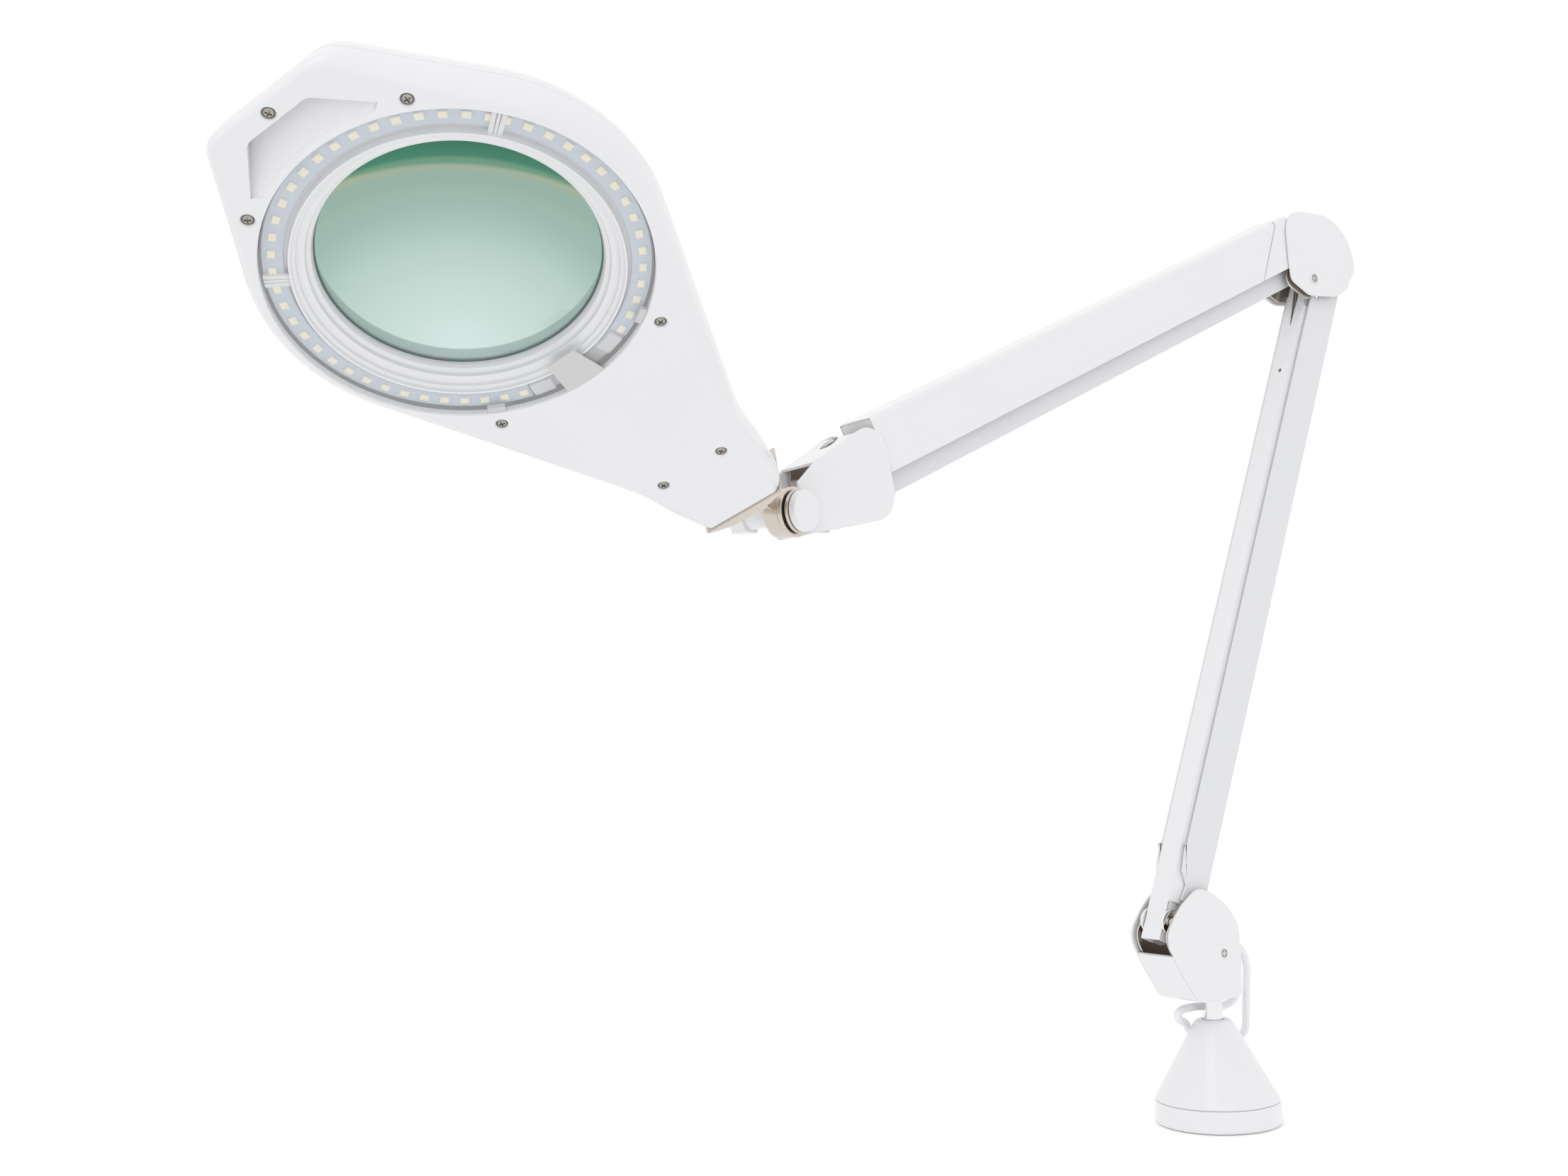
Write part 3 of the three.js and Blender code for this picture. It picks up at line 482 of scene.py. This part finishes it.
# ---------------------------------------------------------------- lower arm
def make_channel():
    place = LOWER @ SIDE_ON
    taper, eye, web = 54, 9, 1.5
    foot = rounded([(-18.8, 53.9), (-17.9, 46.6), (-16.6, 36), (-10.6, 28.8), (-12, 18.8), (-6.4, 17.2),
                    (-4, 10), (-7.8, 3.4)], [0.6] * 5 + [0] * 3, 3)
    head = [*arc(0, lower_length, eye, 0, pi, 16), (-9.3, 469), (-9.6, 459.5), (-14, 461.5)]
    outline = [(channel_back, taper), (channel_back, lower_length - taper), *head, (channel_front, 464),
               (channel_front, taper + 0.4), *foot, *arc(0, 0, eye, pi, 2 * pi, 16)]
    cheeks = both_sides(lambda low, high: prism(outline, low, high, 0.45), channel_in, channel_out)
    back = block(channel_back - web, channel_back, taper - 30, lower_length - taper + 30,
                 0.1 - channel_out, channel_out - 0.1)
    piece("lower_arm_channel", [*cheeks, back], place, "grey_paint", "lower_channel", ["lower_channel"])
    ridges = [moved(block(x, x + 10, -0.45, 0.45, 11.4, 11.88, 0.2), shift(0, z, 0) @ turn(radians(18), "Z"))
              for x, z in ((-13, 464), (-13.6, 457.5))]
    piece("lower_arm_ridges", ridges, place, "grey_paint", "lower_channel")


def make_bar():
    place, white = LOWER @ SIDE_ON, MATERIALS["white_plastic"]
    on_front = shift(bar_front, 0, 0) @ turn(pi / 2, "Y")       # an outline's x runs across, its y along
    end, top, notch_low, notch_high = -10, 484, 437, 467
    notch = [(4.9, top), (4.2, notch_high), (0.4, notch_low), (-0.4, notch_low), (-1.5, notch_high),
             (-2, top)]
    face = [(-bar_half, end), (bar_half, end), (bar_half, top), *notch, (-bar_half, top)]
    front = moved(prism(rounded(face, 0.5, 2), 0, bar_sheet, 0.4), on_front)
    bar = solid_object("lower_arm_bar", [front], place)
    hole = moved(disc(1.5, -4, 4, 0.1, 32), on_front @ shift(0, 400.5, 0))
    carve(bar, solid_object("tool", [hole], place))
    dress(bar, "grey_paint", "lower_bar", ["lower_bar"], white)
    flange = rounded([(-19.2, end), (-8.6, end), (-8.6, 480), (-14, 485.5), (-19.2, 485.5)], 1.5, 3)
    sides = both_sides(lambda low, high: prism(flange, low, high, 0.3), 6.5, bar_half)
    piece("lower_arm_bar_sides", sides, place, "grey_paint", "lower_bar", (), white)
    lip = [(-19.2, 7.8), (-14.5, 9.7), (-8.6, 9.7), (-8.6, 8.3), (-14, 8.3), (-18.4, 6.4)]
    lips = [prism([(x, sign * y) for x, y in lip], 16, 452, 0.25, 2) for sign in (-1, 1)]
    piece("lower_arm_bar_lips", lips, LOWER, "grey_paint", "lower_bar", (), white)
    piece("bar_insert", [block(-17.6, -12, 432, 482, -6.2, 6.2, 0.6)], place, "nickel", "lower_bar")


def make_springs():
    spring = moved(coil(spring_radius, spring_wire, spring_low, spring_high, spring_turns), shift(3.4, 0, 0))
    for arm, place in (("lower", LOWER), ("upper", LYING)):
        piece(f"{arm}_balance_spring", [spring], place, "steel", f"{arm}_channel", [f"{arm}_spring"])


# ---------------------------------------------------------------- elbow
def elbow_outline():
    left = [(99, 597), (100.2, 574), (101.6, 560.6), (120.6, 551.4), (150.4, 554), (163.4, 562),
            (165.4, 567.5)]
    heel = arc(136.5, 577, 34.9, radians(-5), radians(88), 22)
    radii = [6, 5, 4, 5, 4, 2, 2] + [0] * len(heel) + [8, 8]
    return counter_clockwise(rounded([*left, *heel, (118, 611.6), (103.5, 608.6)], radii, 5))


def make_elbow():
    outline = elbow_outline()
    feet = {"near": [(100.6, 568), (100.8, 561), (105, 556.4), (121, 549.8), (127, 552.5), (150, 557)],
            "far": [(103.5, 568), (106, 561.5), (110, 558.4), (121, 553.5), (127, 553.5), (150, 557)]}
    for side, sign in SIDES:
        skin = prism(outline, *on_side(sign, cover_in, cover_out), 0.75, 4)
        rim = band(outline, lambda p: (p.y > 604 and p.x > 120) or (p.x > 158 and p.y > 562), 1.8,
                   *on_side(sign, 0.1, cover_in + 0.3), 0.2)
        piece(f"elbow_shell_{side}", [skin, rim], SIDE_ON, "white_plastic", "elbow", [f"elbow_cover_{side}"])
        plate = rounded([(102.5, 598), (102.2, 576), *feet[side], (161, 566), (162, 590), (150, 606),
                         (136, 609.4), (114, 608)], [3, 3, 3, 2, 2, 1, 3, 3, 3, 3, 3, 3, 3], 4)
        cheek = prism(plate, *on_side(sign, plate_in, plate_out), 0.25)
        piece(f"elbow_cheek_{side}", [cheek], SIDE_ON, "nickel", "elbow", [f"elbow_plate_{side}"])
    spot = shift(126, -cover_out, 564.4) @ SIDE_ON
    piece("elbow_screw_seat", [collar(3.3, 4.3, 0, 0.5, 40, 0.2)], spot, "white_plastic", "elbow")
    screw("elbow_cover_screw", 3.2, 1.2, spot @ shift(0, 0, 0.35), "elbow")


# ---------------------------------------------------------------- upper arm
def hood_ring(end, ease, step):
    """the hood's open section at one end, drawn in by ease; end says where along the arm each height is"""
    half, corner = hood_half, 3.6
    outer = rounded([(-half, hood_under), (half, hood_under), (half, hood_top), (-half, hood_top)],
                    [0, 0, corner, corner], 6)[2:]
    inner = [(-half + hood_wall, hood_under), (-half + hood_wall, hood_top - hood_wall),
             (half - hood_wall, hood_top - hood_wall), (half - hood_wall, hood_under)]
    section = counter_clockwise([(half, hood_under), *outer, (-half, hood_under), *inner])
    if ease:
        section = inset(section, ease)
    return [(end(p.y) + step, p.x, p.y) for p in section]


def hood(first, last):
    """hood between two ends, the ends' rims rounded"""
    rims = [(0.5, 0), (0.15, 0.25), (0, 0.7)]
    rings = [hood_ring(first, ease, step) for ease, step in rims]
    return loft(rings + [hood_ring(last, ease, -step) for ease, step in reversed(rims)])


def seam(z):
    """where hood and sleeve meet: the line leans back towards the bottom, in a gentle curve"""
    t = min(1, max(0, (z + 7) / 21))
    return -58.5 + 0.1 * z + 27 * (t * t * (3 - 2 * t))


def make_upper_arm():
    gap = 0.9
    cover = hood(lambda z: hood_front, lambda z: seam(z) - gap)
    piece("upper_hood", [cover], UPPER, "white_plastic", "upper_channel", ["upper_cover"])
    sleeve = hood(seam, lambda z: sleeve_back)
    piece("upper_sleeve_shell", [sleeve], UPPER, "white_plastic", "upper_channel", ["upper_sleeve"])
    nose = block(hood_front + 0.4, hood_front + 1.8, -13.9, 13.9, 9.8, 17.6, 0.4)
    piece("hood_nose", [nose], UPPER, "white_plastic", "upper_channel")
    panel = rounded([(-398, -9.5), (-73, -9.5), (-62, 13), (-404, 13)], 1.5, 3)
    for side, sign in SIDES:
        skin = prism(panel, *on_side(sign, hood_half - 0.2, hood_half + 0.12), 0.12, 2)
        piece(f"hood_panel_{side}", [skin], UPPER @ SIDE_ON, "white_plastic", "upper_channel")


# ---------------------------------------------------------------- fork
def make_fork():
    outline = counter_clockwise(rounded(
        [(-325, 396.3), (-324.3, 392), (-317.1, 367.8), (-262.2, 378.6), (-256.1, 391.1), (-258.7, 404.4),
         (-260.3, 417.2), (-265.2, 427.9), (-275.6, 431), (-285.1, 426.3), (-290.6, 421.6), (-312.8, 408.5)],
        [0.6, 0.6, 1, 9, 6, 6, 5, 4, 4, 3, 3, 2], 5))
    top = band(outline, lambda p: -313.2 < p.x < -284.3 and p.y > 402, 1.6, -cover_in - 0.2, cover_in + 0.2)
    shell = solid_object("fork_shell", [top], SIDE_ON)
    hole = disc(5.5, -20, 20, 0.2, COARSE)
    carve(shell, solid_object("tool", [hole], shift(-289, 2, 428)))
    dress(shell, "white_plastic", "fork", ["fork_cover"])
    sides = both_sides(lambda low, high: prism(outline, low, high, 0.9, 4), cover_in, cover_out)
    piece("fork_sides", sides, SIDE_ON, "white_plastic", "fork")
    lugs = [(-304, 371), (-286.5, 374.4), (-286.5, 402.8), (-304, 402.8), (-304, 397.2), (-288.2, 397.2),
            (-288.2, 376.4), (-304, 376.4)]
    piece("fork_lugs", [prism(lugs, -channel_out, channel_out, 0.3)], SIDE_ON, "steel", "fork", ["fork_core"],
          MATERIALS["white_plastic"])


# ---------------------------------------------------------------- head joint
def make_joint():
    knuckle = shift(-swivel_reach, 0, 0) @ SIDE_ON              # the bolt's axis in the swivel's own frame
    axis = SWIVEL @ knuckle
    piece("joint_cap", [disc(11.4, 14.6, 19, 0.8)], axis, "white_plastic", "swivel", ["tilt_cap"])
    bolt = [disc(12.2, 12.6, 14.4), disc(4, -21.5, 13)]
    piece("joint_bolt", bolt, axis, "steel", "swivel", ["tilt_bolt"], MATERIALS["nickel"])
    washer = collar(drum_bore, 11.6, 11.7, 12.3, 72, 0.1)
    piece("joint_washer", [washer], axis, "black_plastic", "swivel", ["friction_washer"])
    drum = moved(collar(drum_bore, 13.9, 8.4, 11.4, MEDIUM, 0.7), knuckle)
    hub = collar(3.3, 7, -2, 18, COARSE, 0.5)
    arm = [(-18, 4.5), (-18, -4.5), (-21, -4.5), (-25.8, -6.9), (-28.2, -11.4), (-34, -11.4), (-34, -8.4),
           (-26.8, -8.4), (-26.8, 4.5)]
    neck = block(-21, -5, -4.5, 4.5, -2, 16, 0.8)
    joint = [drum, hub, prism(arm, -2, 7, 0.4), neck]
    piece("joint_arm", joint, SWIVEL, "nickel", "swivel", ["swivel_block"])
    nut = [disc(6.9, -20.4, -1.8), prism(arc(0, 0, 9.8, 0, 5 * pi / 3, 5), -30.5, -20, 0.9)]
    piece("joint_nut", nut, axis, "white_plastic", "swivel", ["tilt_nut"])
    side = moved(collar(drum_bore, 13.4, -1.5, 8.1, MEDIUM, 0.6), SIDE_ON)
    tab = block(-32, -11, -5.2, 5.2, -5.2, 5.2)
    shaft = moved(disc(5.2, 10, 44), turn(-pi / 2, "Y"))
    piece("joint_barrel", [side, tab, shaft], TILT, "nickel", "tilt", ["tilt_barrel"])


# ---------------------------------------------------------------- head housing
def head_outline(depth, tip_x, neck_in):
    """the head's outline, its round part drawn in by depth and its neck by neck_in"""
    radius = round_radius - depth
    tip_half = 33 - 0.5 * depth
    shoulder = Vector((166, 34 - neck_in))

    def touch(x, y, sense):
        return atan2(y, x) + sense * acos(radius / hypot(x, y))

    from_tip, from_neck = touch(tip_x, tip_half, -1), touch(*shoulder, 1)
    meet = Vector((radius * cos(from_tip), radius * sin(from_tip)))
    corner = Vector((tip_x, tip_half))
    along = (meet - corner).normalized()
    start, end = corner + Vector((0, -8)), corner + along * 8
    half = [Vector((tip_x, 0))]
    half += [start * (1 - t) ** 2 + corner * 2 * t * (1 - t) + end * t * t for t in [i / 8 for i in range(9)]]
    half += arc(0, 0, radius, from_tip, from_neck, 64)
    bend = rounded([half[-1], shoulder, (188, 31 - neck_in), (neck_end, 25 - neck_in), (neck_end, 0)],
                   [0, 14, 8, 0, 0], 6)
    half += bend[1:-1]
    mirror = [Vector((p.x, -p.y)) for p in half[1:]]
    return counter_clockwise(half + mirror[::-1])


def tip_at(z):
    if z < 0:
        return -115.5 + 2.4 * (1 - sqrt(max(0, 1 - (z / face_z) ** 2)))
    return -115.5 + 0.4 * z


def lower_level(t, wall):
    """lower shell's outline at t, which runs from the flat face, 0, to the parting line, 1"""
    turn_by = t * pi / 2
    z = parting_z - (parting_z - face_z - wall) * cos(turn_by) + wall / 2
    depth = 8.6 * (1 - sin(turn_by)) + wall
    outline = head_outline(depth, tip_at(z) + wall, 0.55 * depth)
    rise = 0.045 if t < 0.4 else 0                              # the flat face rises towards the neck's end
    return [(p.x - (wall if p.x > neck_end - 1 else 0), p.y, z + rise * max(0, p.x - 188)) for p in outline]


def upper_level(t, wall):
    """upper shell's outline at t, which runs from the parting line, 0, to the top, 1"""
    turn_by = t * pi / 2
    z = parting_z + (top_z - wall - parting_z) * sin(turn_by)
    depth = 18.4 * (1 - cos(turn_by)) + wall
    tip = tip_at(z) + wall + 9 * (1 - cos(turn_by)) ** 2
    outline = head_outline(depth, tip, 0.6 * depth)
    return [(p.x - (wall if p.x > neck_end - 1 else 0), p.y, z + 0.12) for p in outline]


def grip_ring(radius, z):
    """outline of the finger recess where its ramp is at this radius"""
    end, half = 105.5, 17                                       # the end wall, before its corners are cut off
    twice, square = 2 * (end - half), end ** 2 + half ** 2
    slide = min(19.5, (twice - sqrt(max(0, twice ** 2 - 8 * (square - radius ** 2)))) / 4)
    tip = Vector((slide - end, half + slide))
    outer = rounded([tip, (-end, half), (-end, -half), (tip.x, -tip.y)], [0, 2.5, 2.5, 0], 4)
    span = atan2(tip.y, -tip.x)
    inner = arc(0, 0, radius, pi + span, pi - span, 24)[1:-1]
    return [(p.x, p.y, z) for p in outer + inner]


SCREWS = [(-109.6, 0)]                                          # x and y in the head's frame
for reach, bearing in ((91.7, radians(150)), (94, radians(31.3))):
    SCREWS += [(reach * cos(bearing), side * reach * sin(bearing)) for side in (-1, 1)]
SCREWS += [(168, -18.4), (168, 18.4)]


def cut(target, *solids):
    """takes solids, given in the head's frame, out of the target"""
    return carve(target, *[solid_object("tool", [solid], HEAD) for solid in solids])


def shaft_hole(radius):
    return moved(disc(radius, -60, 0, 0, COARSE), shift(190, 0, neck_lift) @ turn(-pi / 2, "Y"))


def make_lower_housing(wall):
    lower = solid_object("lower_shell", [loft([lower_level(i / 10, 0) for i in range(11)])], HEAD)
    hollow = solid_object("hollow", [loft([lower_level(i / 8, wall) for i in range(9)])], HEAD)
    rim = [(-108, 19), (-108, -19), (-84, -41), (-76, -38), (-86.5, -12), (-86.5, 12), (-76, 38), (-84, 41)]
    cut(hollow, prism(rim, -8, 9, 0))
    for x, y in SCREWS:
        cut(hollow, moved(disc(5.2, -8, 20, 0.2, 32), shift(x, y, 0)))
    carve(lower, hollow)
    mouth = opening_radius + 0.5
    opening = [(0, -20), (mouth, -20), (mouth, -5.2), (opening_radius, -4), (opening_radius, 30), (0, 30)]
    cut(lower, lathe(opening, FINE))
    ramp = ((88.4, -6.2), (89.3, -5.2), (91.5, -3.9), (97, 0), (102, 4), (103.6, 6))
    cut(lower, loft([grip_ring(radius, z) for radius, z in ramp]))
    bore = lathe([(0, -12), (3.6, -12), (3.6, -5.1), (2.9, -4.4), (2.9, -2.6), (0, -2.6)], 40, 0.15)
    cut(lower, *[moved(bore, shift(x, y, 0)) for x, y in SCREWS])
    dress(lower, "white_plastic", "head", ["head_lower_housing"], crease=32)


def make_upper_housing(wall):
    upper = solid_object("upper_shell", [loft([upper_level(i / 14, 0) for i in range(15)])], HEAD)
    inside = loft([upper_level(i / 10, wall) for i in range(11)])
    inside = solid_object("hollow", [inside], HEAD @ shift(0, 0, -0.5))
    cut(inside, disc(64.8, -10, 60, 0, FINE))
    carve(upper, inside)
    well = [(0, -20), (62.6, -20), (62.6, 22.5), (63.8, 25.4), (66.4, 26.9), (66.4, 60), (0, 60)]
    cut(upper, lathe(well, FINE, 0.6))
    cut(upper, moved(disc(5.4, 15, 40, 0, COARSE), shift(182, 0, 0)))
    cut(upper, shaft_hole(5.7))
    dress(upper, "white_plastic", "head", ["head_upper_housing"], crease=32)


def make_neck_plate():
    half = [(212.3, -24.4), (214.2, -24), (217, -16), (218.7, -7)]
    plate = rounded(half + [(x, -y) for x, y in reversed(half)], [0.3, 1.5, 8, 6, 6, 8, 1.5, 0.3], 5)
    end = solid_object("neck_end_plate", [prism(plate, -4.4, 26, 0.7)], HEAD)
    dress(cut(end, shaft_hole(5.5)), "nickel", "head", ["neck_plate"])


def make_housing():
    wall = 2.2
    make_lower_housing(wall)
    make_upper_housing(wall)
    make_neck_plate()
    for i, (x, y) in enumerate(SCREWS):
        place = HEAD @ shift(x, y, -4.7) @ turn(pi, "X") @ turn(0.4 + i, "Z")
        screw(f"housing_screw_{i + 1}", 2.5, 2, place, "head", [f"head_screw_{i + 1}"])


# ---------------------------------------------------------------- lens, its ring and the lights
def make_lens():
    sag, dome, low, high, steps = 5.8, 63.6, 8.5, 11.5, 18
    under = [(dome * i / steps, low - sag * (1 - (i / steps) ** 2)) for i in range(steps + 1)]
    over = [(dome * i / steps, high + sag * (1 - (i / steps) ** 2)) for i in range(steps, -1, -1)]
    glass = lathe([*under, (lens_radius, low), (lens_radius, high), *over], FINE, 0.05)
    piece("lens_glass_disc", [glass], HEAD, "lens_glass", "head", ["lens"], crease=30)
    inner, seat, flange_low, flange_high = 63.4, lens_radius + 0.35, 1.9, 3.6
    ring = [(inner, 8.2), (seat, 8.2), (seat, 11.8), (67.4, 11.8), (67.4, 5.2), (71, flange_high),
            (85, flange_high), (85, flange_low), (bezel_out, flange_low), (bezel_out, -3.4), (72.4, -3.4),
            (72.2, -1.6), (70.4, -1.3), (70.2, 0.6), (66.6, 1.4), (66.2, 3.6), (64.2, 4.2), (inner, 6.2)]
    piece("lens_ring", [lathe(ring, FINE, 0.35)], HEAD, "white_plastic", "head", ["lens_bezel"])
    cover = collar(bezel_out + 0.2, 85.6, -4.4, -2.9, FINE)
    piece("light_cover", [cover], HEAD, "clear_plastic", "head", ["diffuser_ring"])


def make_lights():
    """three strips round the lens, each board with its lights on the face side"""
    margin, strip_in, strip_out = 0.04, 75.6, 84.6
    package = block(-1.8, 1.8, -2.1, 2.1, -0.8, 0.1, 0.2)
    phosphor = block(-1.5, 1.5, -1.8, 1.8, -0.95, -0.6, 0.12)
    spots = []
    for board, (first, sense) in enumerate(((130.2, 1), (236.3, 1), (123, -1))):
        angles = [radians(first) + sense * led_pitch * i for i in range(leds_per_board)]
        low, high = sorted((angles[0] - sense * margin, angles[-1] + sense * margin))
        sector = arc(0, 0, strip_out, low, high, 60) + arc(0, 0, strip_in, high, low, 60)
        strip = prism(sector, 0, 1.6, 0.15, 2)
        piece(f"light_strip_{board + 1}", [strip], HEAD, "board", "head", [f"led_board_{board + 1}"])
        spots += [turn(angle, "Z") @ shift(led_radius, 0, 0) for angle in angles]
    for name, solid, look in (("packages", package, PACKAGE), ("phosphors", phosphor, PHOSPHOR)):
        piece(f"light_{name}", [moved(solid, spot) for spot in spots], HEAD, "board", "head", (), look)


def make_fittings():
    """clips, contact pads, windows and the blank patch, all small pieces beside the lights"""
    clips = []
    for angle in (127, 234):
        for off, half in ((-3.4, 1.1), (0, 0.7), (3.4, 1.1)):
            clip = block(73, 85, -half, half, -1.9, 0.2, 0.4)
            clips.append(moved(clip, turn(radians(angle + off * 0.45), "Z")))
    piece("strip_clips", clips, HEAD, "white_plastic", "head")
    pad, window = block(-3.6, 3.6, -5.5, 5.5, -1.6, 0.4), block(-1.6, 1.6, -4.2, 4.2, -4.6, -2, 0.3)
    for name, solid, radius, bearings, look in (("strip_lead_pads", pad, 80, (-15.5, 14.5), PAD_CLEAR),
                                                ("clip_windows", window, 84.2, (-31.7, 31.7), LABEL)):
        places = [turn(radians(bearing), "Z") @ shift(radius, 0, 0) for bearing in bearings]
        piece(name, [moved(solid, place) for place in places], HEAD, "clear_plastic", "head", (), look)
    patch = rounded([(66.5, -8), (86.5, -11.5), (86.5, 11.5), (66.5, 8)], 1, 3)
    piece("blank_patch", [prism(patch, -4.95, -4.5, 0.12, 2)], HEAD, "clear_plastic", "head", (), LABEL)


# ---------------------------------------------------------------- CAD nodes that stay
KEPT = {
    "grey_paint": "upper_bar upper_channel", "nylon": "base_bush", "board": "driver_board",
    "button_plastic": "switch_button",
    "steel": "base_plate base_socket knuckle_block",
    "nickel": "knuckle_channel_pin knuckle_bar_pin elbow_pin_lower_channel elbow_pin_lower_bar "
              "elbow_pin_upper_channel elbow_pin_upper_bar fork_plate_near fork_plate_far swivel_pin "
              "fork_channel_pin fork_bar_pin",
}


def dress_kept():
    for slot, names in KEPT.items():
        for name in names.split():
            kept = nodes[name]
            kept.data.materials.clear()
            kept.data.materials.append(MATERIALS[slot])
            kept.data.polygons.foreach_set("use_smooth", [True] * len(kept.data.polygons))
            kept.data.set_sharp_from_angle(angle=radians(35))


# ---------------------------------------------------------------- floor and light
def make_stage():
    floor = bpy.data.objects.new("floor", bpy.data.meshes.new("floor"))
    work = bmesh.new()
    bmesh.ops.create_circle(work, cap_ends=True, segments=96, radius=0.7)
    work.to_mesh(floor.data)
    floor.location = (0, 0, -0.0006)
    scene.collection.objects.link(floor)
    paint = bpy.data.materials.new("floor")
    paint.use_nodes = True
    tree = paint.node_tree
    shader, out = tree.nodes["Principled BSDF"], tree.nodes["Material Output"]
    shader.inputs["Base Color"].default_value = (0.95, 0.95, 0.95, 1)
    shader.inputs["Roughness"].default_value = 0.5
    shader.inputs["Emission Color"].default_value = (1, 1, 1, 1)
    shader.inputs["Emission Strength"].default_value = 0.12
    place, span = tree.nodes.new("ShaderNodeTexCoord"), tree.nodes.new("ShaderNodeVectorMath")
    span.operation = "LENGTH"
    fade, clear, mix = (tree.nodes.new(kind) for kind in
                        ("ShaderNodeMapRange", "ShaderNodeBsdfTransparent", "ShaderNodeMixShader"))
    fade.interpolation_type = "SMOOTHSTEP"
    fade.inputs["From Min"].default_value = 0.06
    fade.inputs["From Max"].default_value = 0.5
    tree.links.new(place.outputs["Object"], span.inputs[0])
    tree.links.new(span.outputs["Value"], fade.inputs["Value"])
    tree.links.new(fade.outputs["Result"], mix.inputs["Fac"])
    tree.links.new(shader.outputs["BSDF"], mix.inputs[1])
    tree.links.new(clear.outputs["BSDF"], mix.inputs[2])
    tree.links.new(mix.outputs["Shader"], out.inputs["Surface"])
    floor.data.materials.append(paint)

    world = bpy.data.worlds.new("world")
    scene.world = world
    world.use_nodes = True
    background = world.node_tree.nodes["Background"]
    background.inputs["Color"].default_value = (1, 1, 1, 1)
    background.inputs["Strength"].default_value = 1.0
    scene.view_settings.view_transform = "Standard"
    for name, spot, aim, size, power in (("key", (-1.6, -0.6, 1.9), (-0.2, 0, 0.4), 1.2, 3.5),
                                         ("fill", (-0.9, -1.8, 0.5), (0, 0, 0.3), 1.4, 0.6)):
        light = bpy.data.objects.new(name, bpy.data.lights.new(name, "AREA"))
        light.data.size, light.data.energy = size, power
        light.location = spot
        light.rotation_euler = (Vector(aim) - Vector(spot)).to_track_quat("-Z", "Y").to_euler()
        scene.collection.objects.link(light)


make_lead()
make_base()
make_knuckle()
make_channel()
make_bar()
make_springs()
make_elbow()
make_upper_arm()
make_fork()
make_joint()
make_housing()
make_lens()
make_lights()
make_fittings()
dress_kept()
make_stage()
